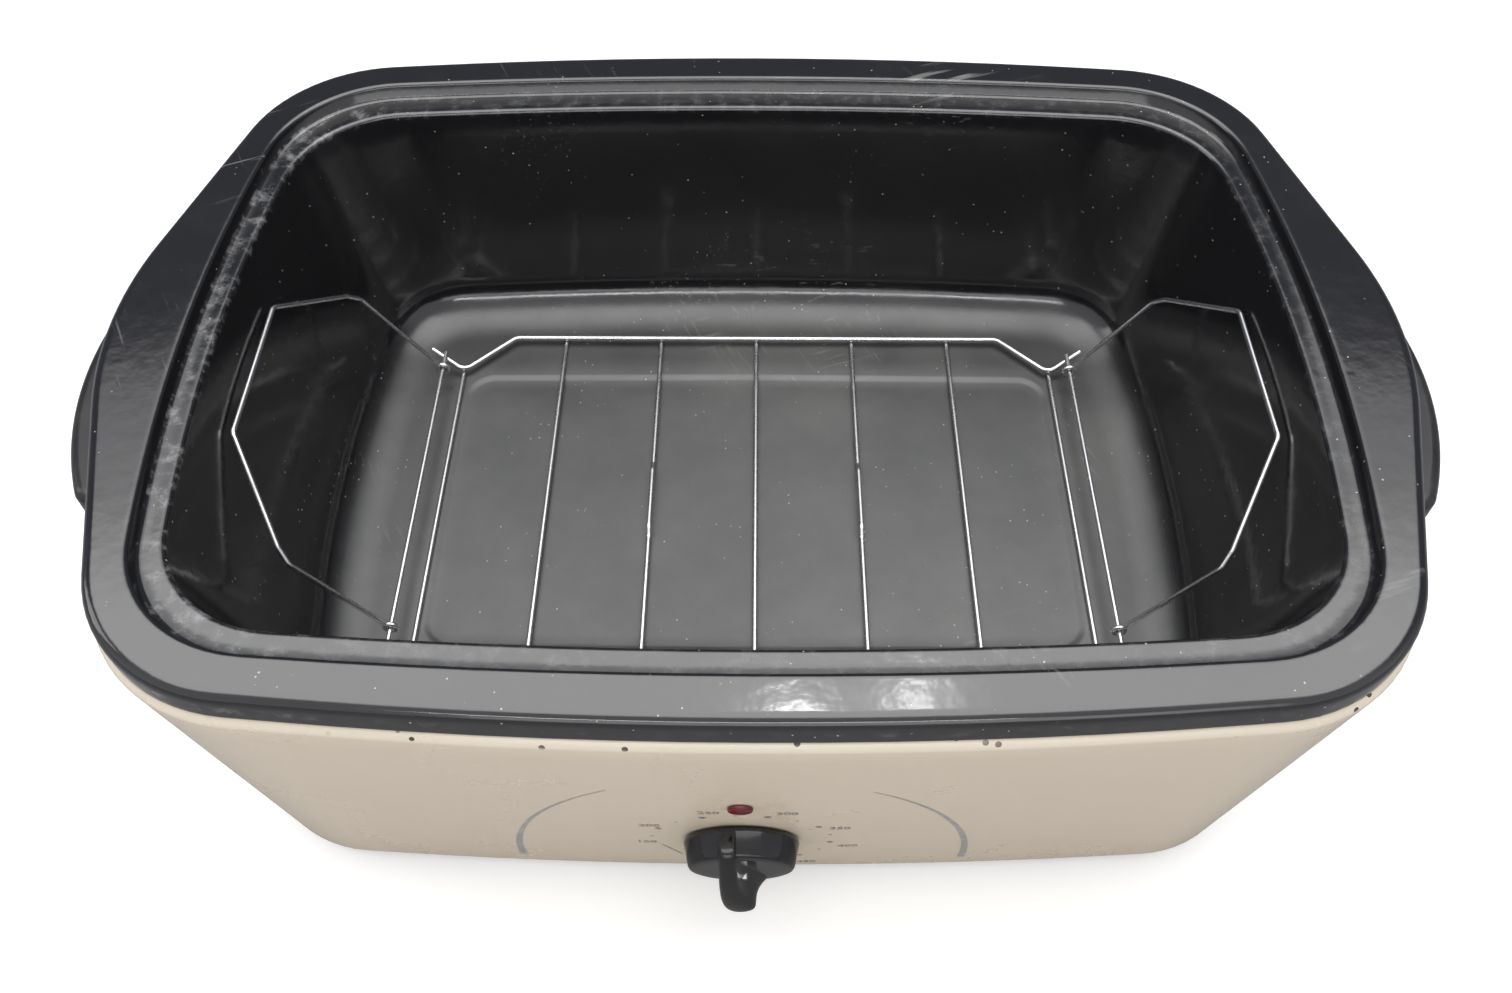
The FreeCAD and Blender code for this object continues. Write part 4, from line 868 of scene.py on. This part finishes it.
class ROASTER_OT_stage(bpy.types.Operator):
    """Set the pale floor, the soft lamps, the world and the camera"""
    bl_idname = "roaster.stage"
    bl_label = "Stage"

    eye = Vector((1.108, -418.8, 629.41)) * MM
    pitch, yaw, roll = 52.786, -0.110, 0.161
    focal = 30.952

    def execute(self, context):
        self.floor()
        self.world()
        self.lamp("overhead", (0.0, 0.10, 1.75), (0.0, 0.10, 0.1), 2.9, 1.75, 29.0)
        self.lamp("overhead_sheen", (0.0, 0.42, 1.78), (0.0, 0.42, 0.1), 3.3, 2.0, 26.0, sheen_only=True)
        self.lamp("front_strip", (-0.1, -2.3, 1.55), (0.0, 0.0, 0.15), 1.7, 0.14, 8.0)
        self.lamp("front_soft", (0.3, -2.6, 0.9), (0.0, 0.0, 0.1), 2.4, 1.0, 10.0)
        self.lamp("side_window", (-2.3, 0.3, 1.2), (0.0, 0.0, 0.1), 0.7, 1.2, 6.0)
        self.lamp("glint_left", (0.07, 0.56, 1.70), (0.0, -0.2, 0.2), 0.07, 0.02, 0.35, sheen_only=True)
        self.lamp("glint_right", (0.26, 0.60, 1.70), (0.0, -0.2, 0.2), 0.04, 0.03, 0.25, sheen_only=True)
        self.camera()
        scene = context.scene
        scene.view_settings.view_transform = "Standard"
        return {"FINISHED"}

    def floor(self):
        deselect()
        bpy.ops.mesh.primitive_plane_add(size=8)
        floor = bpy.context.object
        floor.name = "floor"
        material, tree, shader, vector = new_material("floor_paper", Roughness=0.9)
        film = effect(tree, "Film", vector, Scale=3.0, Low=0.3, High=0.8)
        path = tree.nodes.new("ShaderNodeLightPath")
        pale = mix_colour(tree, film, (0.80, 0.80, 0.80), (0.82, 0.82, 0.82))
        mirrored = mix_colour(tree, path.outputs["Is Glossy Ray"], pale, (0.30, 0.30, 0.31))
        feed(tree, shader, "Base Color", mirrored)
        seen = seen_directly(tree, path)
        shader.inputs["Emission Color"].default_value = (1, 1, 1, 1)
        feed(tree, shader, "Emission Strength", times(tree, seen, 0.35))
        floor.data.materials.append(material)

    def world(self):
        world = bpy.data.worlds.new("studio")
        bpy.context.scene.world = world
        world.use_nodes = True
        tree = world.node_tree
        shade = tree.nodes["Background"]
        path = tree.nodes.new("ShaderNodeLightPath")
        direction = parts_of(tree, tree.nodes.new("ShaderNodeTexCoord").outputs["Generated"])
        upward = ramp(tree, direction[2], 0.62, 0.82)
        backward = ramp(tree, direction[1], -0.30, 0.35)
        glossy = mix_colour(tree, backward, (0.75, 0.76, 0.80), (0.16, 0.17, 0.21))
        glossy = mix_colour(tree, upward, glossy, (0.85, 0.86, 0.88))
        lit = mix_colour(tree, path.outputs["Is Glossy Ray"], (0.55, 0.55, 0.56), glossy)
        seen = seen_directly(tree, path)
        tree.links.new(mix_colour(tree, seen, lit, (0.93, 0.93, 0.93)), shade.inputs["Color"])

    def lamp(self, name, place, target, width, depth, power, sheen_only=False):
        deselect()
        bpy.ops.object.light_add(type="AREA", location=place)
        lamp = bpy.context.object
        lamp.name = name
        lamp.rotation_euler = (Vector(target) - Vector(place)).to_track_quat("-Z", "Y").to_euler()
        lamp.data.shape = "RECTANGLE"
        lamp.data.size, lamp.data.size_y = width, depth
        lamp.data.energy = power
        lamp.visible_diffuse = not sheen_only

    def camera(self):
        pitch, yaw, roll = (math.radians(a) for a in (self.pitch, self.yaw, self.roll))
        ahead = Vector((math.sin(yaw) * math.cos(pitch), math.cos(yaw) * math.cos(pitch), -math.sin(pitch)))
        right = Vector((math.cos(yaw), -math.sin(yaw), 0))
        up = right.cross(ahead)
        right, up = (right * math.cos(roll) + up * math.sin(roll),
                     up * math.cos(roll) - right * math.sin(roll))
        deselect()
        bpy.ops.object.camera_add()
        camera = bpy.context.object
        camera.name = "camera"
        turned = Matrix((right, up, -ahead)).transposed().to_4x4()
        camera.matrix_world = Matrix.Translation(self.eye) @ turned
        camera.data.sensor_width = 36.0
        camera.data.lens = self.focal
        camera.data.clip_start = 0.01
        bpy.context.scene.camera = camera


class ROASTER_PT_panel(bpy.types.Panel):
    """The roaster oven's pieces and stage"""
    bl_idname = "ROASTER_PT_panel"
    bl_label = "Roaster oven"
    bl_space_type = "VIEW_3D"
    bl_region_type = "UI"
    bl_category = "Roaster"

    def draw(self, context):
        for operator in OPERATORS:
            self.layout.operator(operator.bl_idname)


OPERATORS = (ROASTER_OT_cookwell, ROASTER_OT_casing, ROASTER_OT_dial_print, ROASTER_OT_knob,
             ROASTER_OT_finishes, ROASTER_OT_stage)
CLASSES = (RoasterSizes, RoasterColours, *OPERATORS, ROASTER_PT_panel)


def register():
    for entry in CLASSES:
        bpy.utils.register_class(entry)
    bpy.types.Scene.roaster_sizes = bpy.props.PointerProperty(type=RoasterSizes)
    bpy.types.Scene.roaster_colours = bpy.props.PointerProperty(type=RoasterColours)


def unregister():
    del bpy.types.Scene.roaster_colours
    del bpy.types.Scene.roaster_sizes
    for entry in reversed(CLASSES):
        bpy.utils.unregister_class(entry)


def main():
    register()
    bpy.ops.roaster.cookwell()
    bpy.ops.roaster.casing()
    bpy.ops.roaster.dial_print()
    bpy.ops.roaster.knob()
    bpy.ops.roaster.finishes()
    bpy.ops.roaster.stage()


if __name__ == "__main__":
    main()
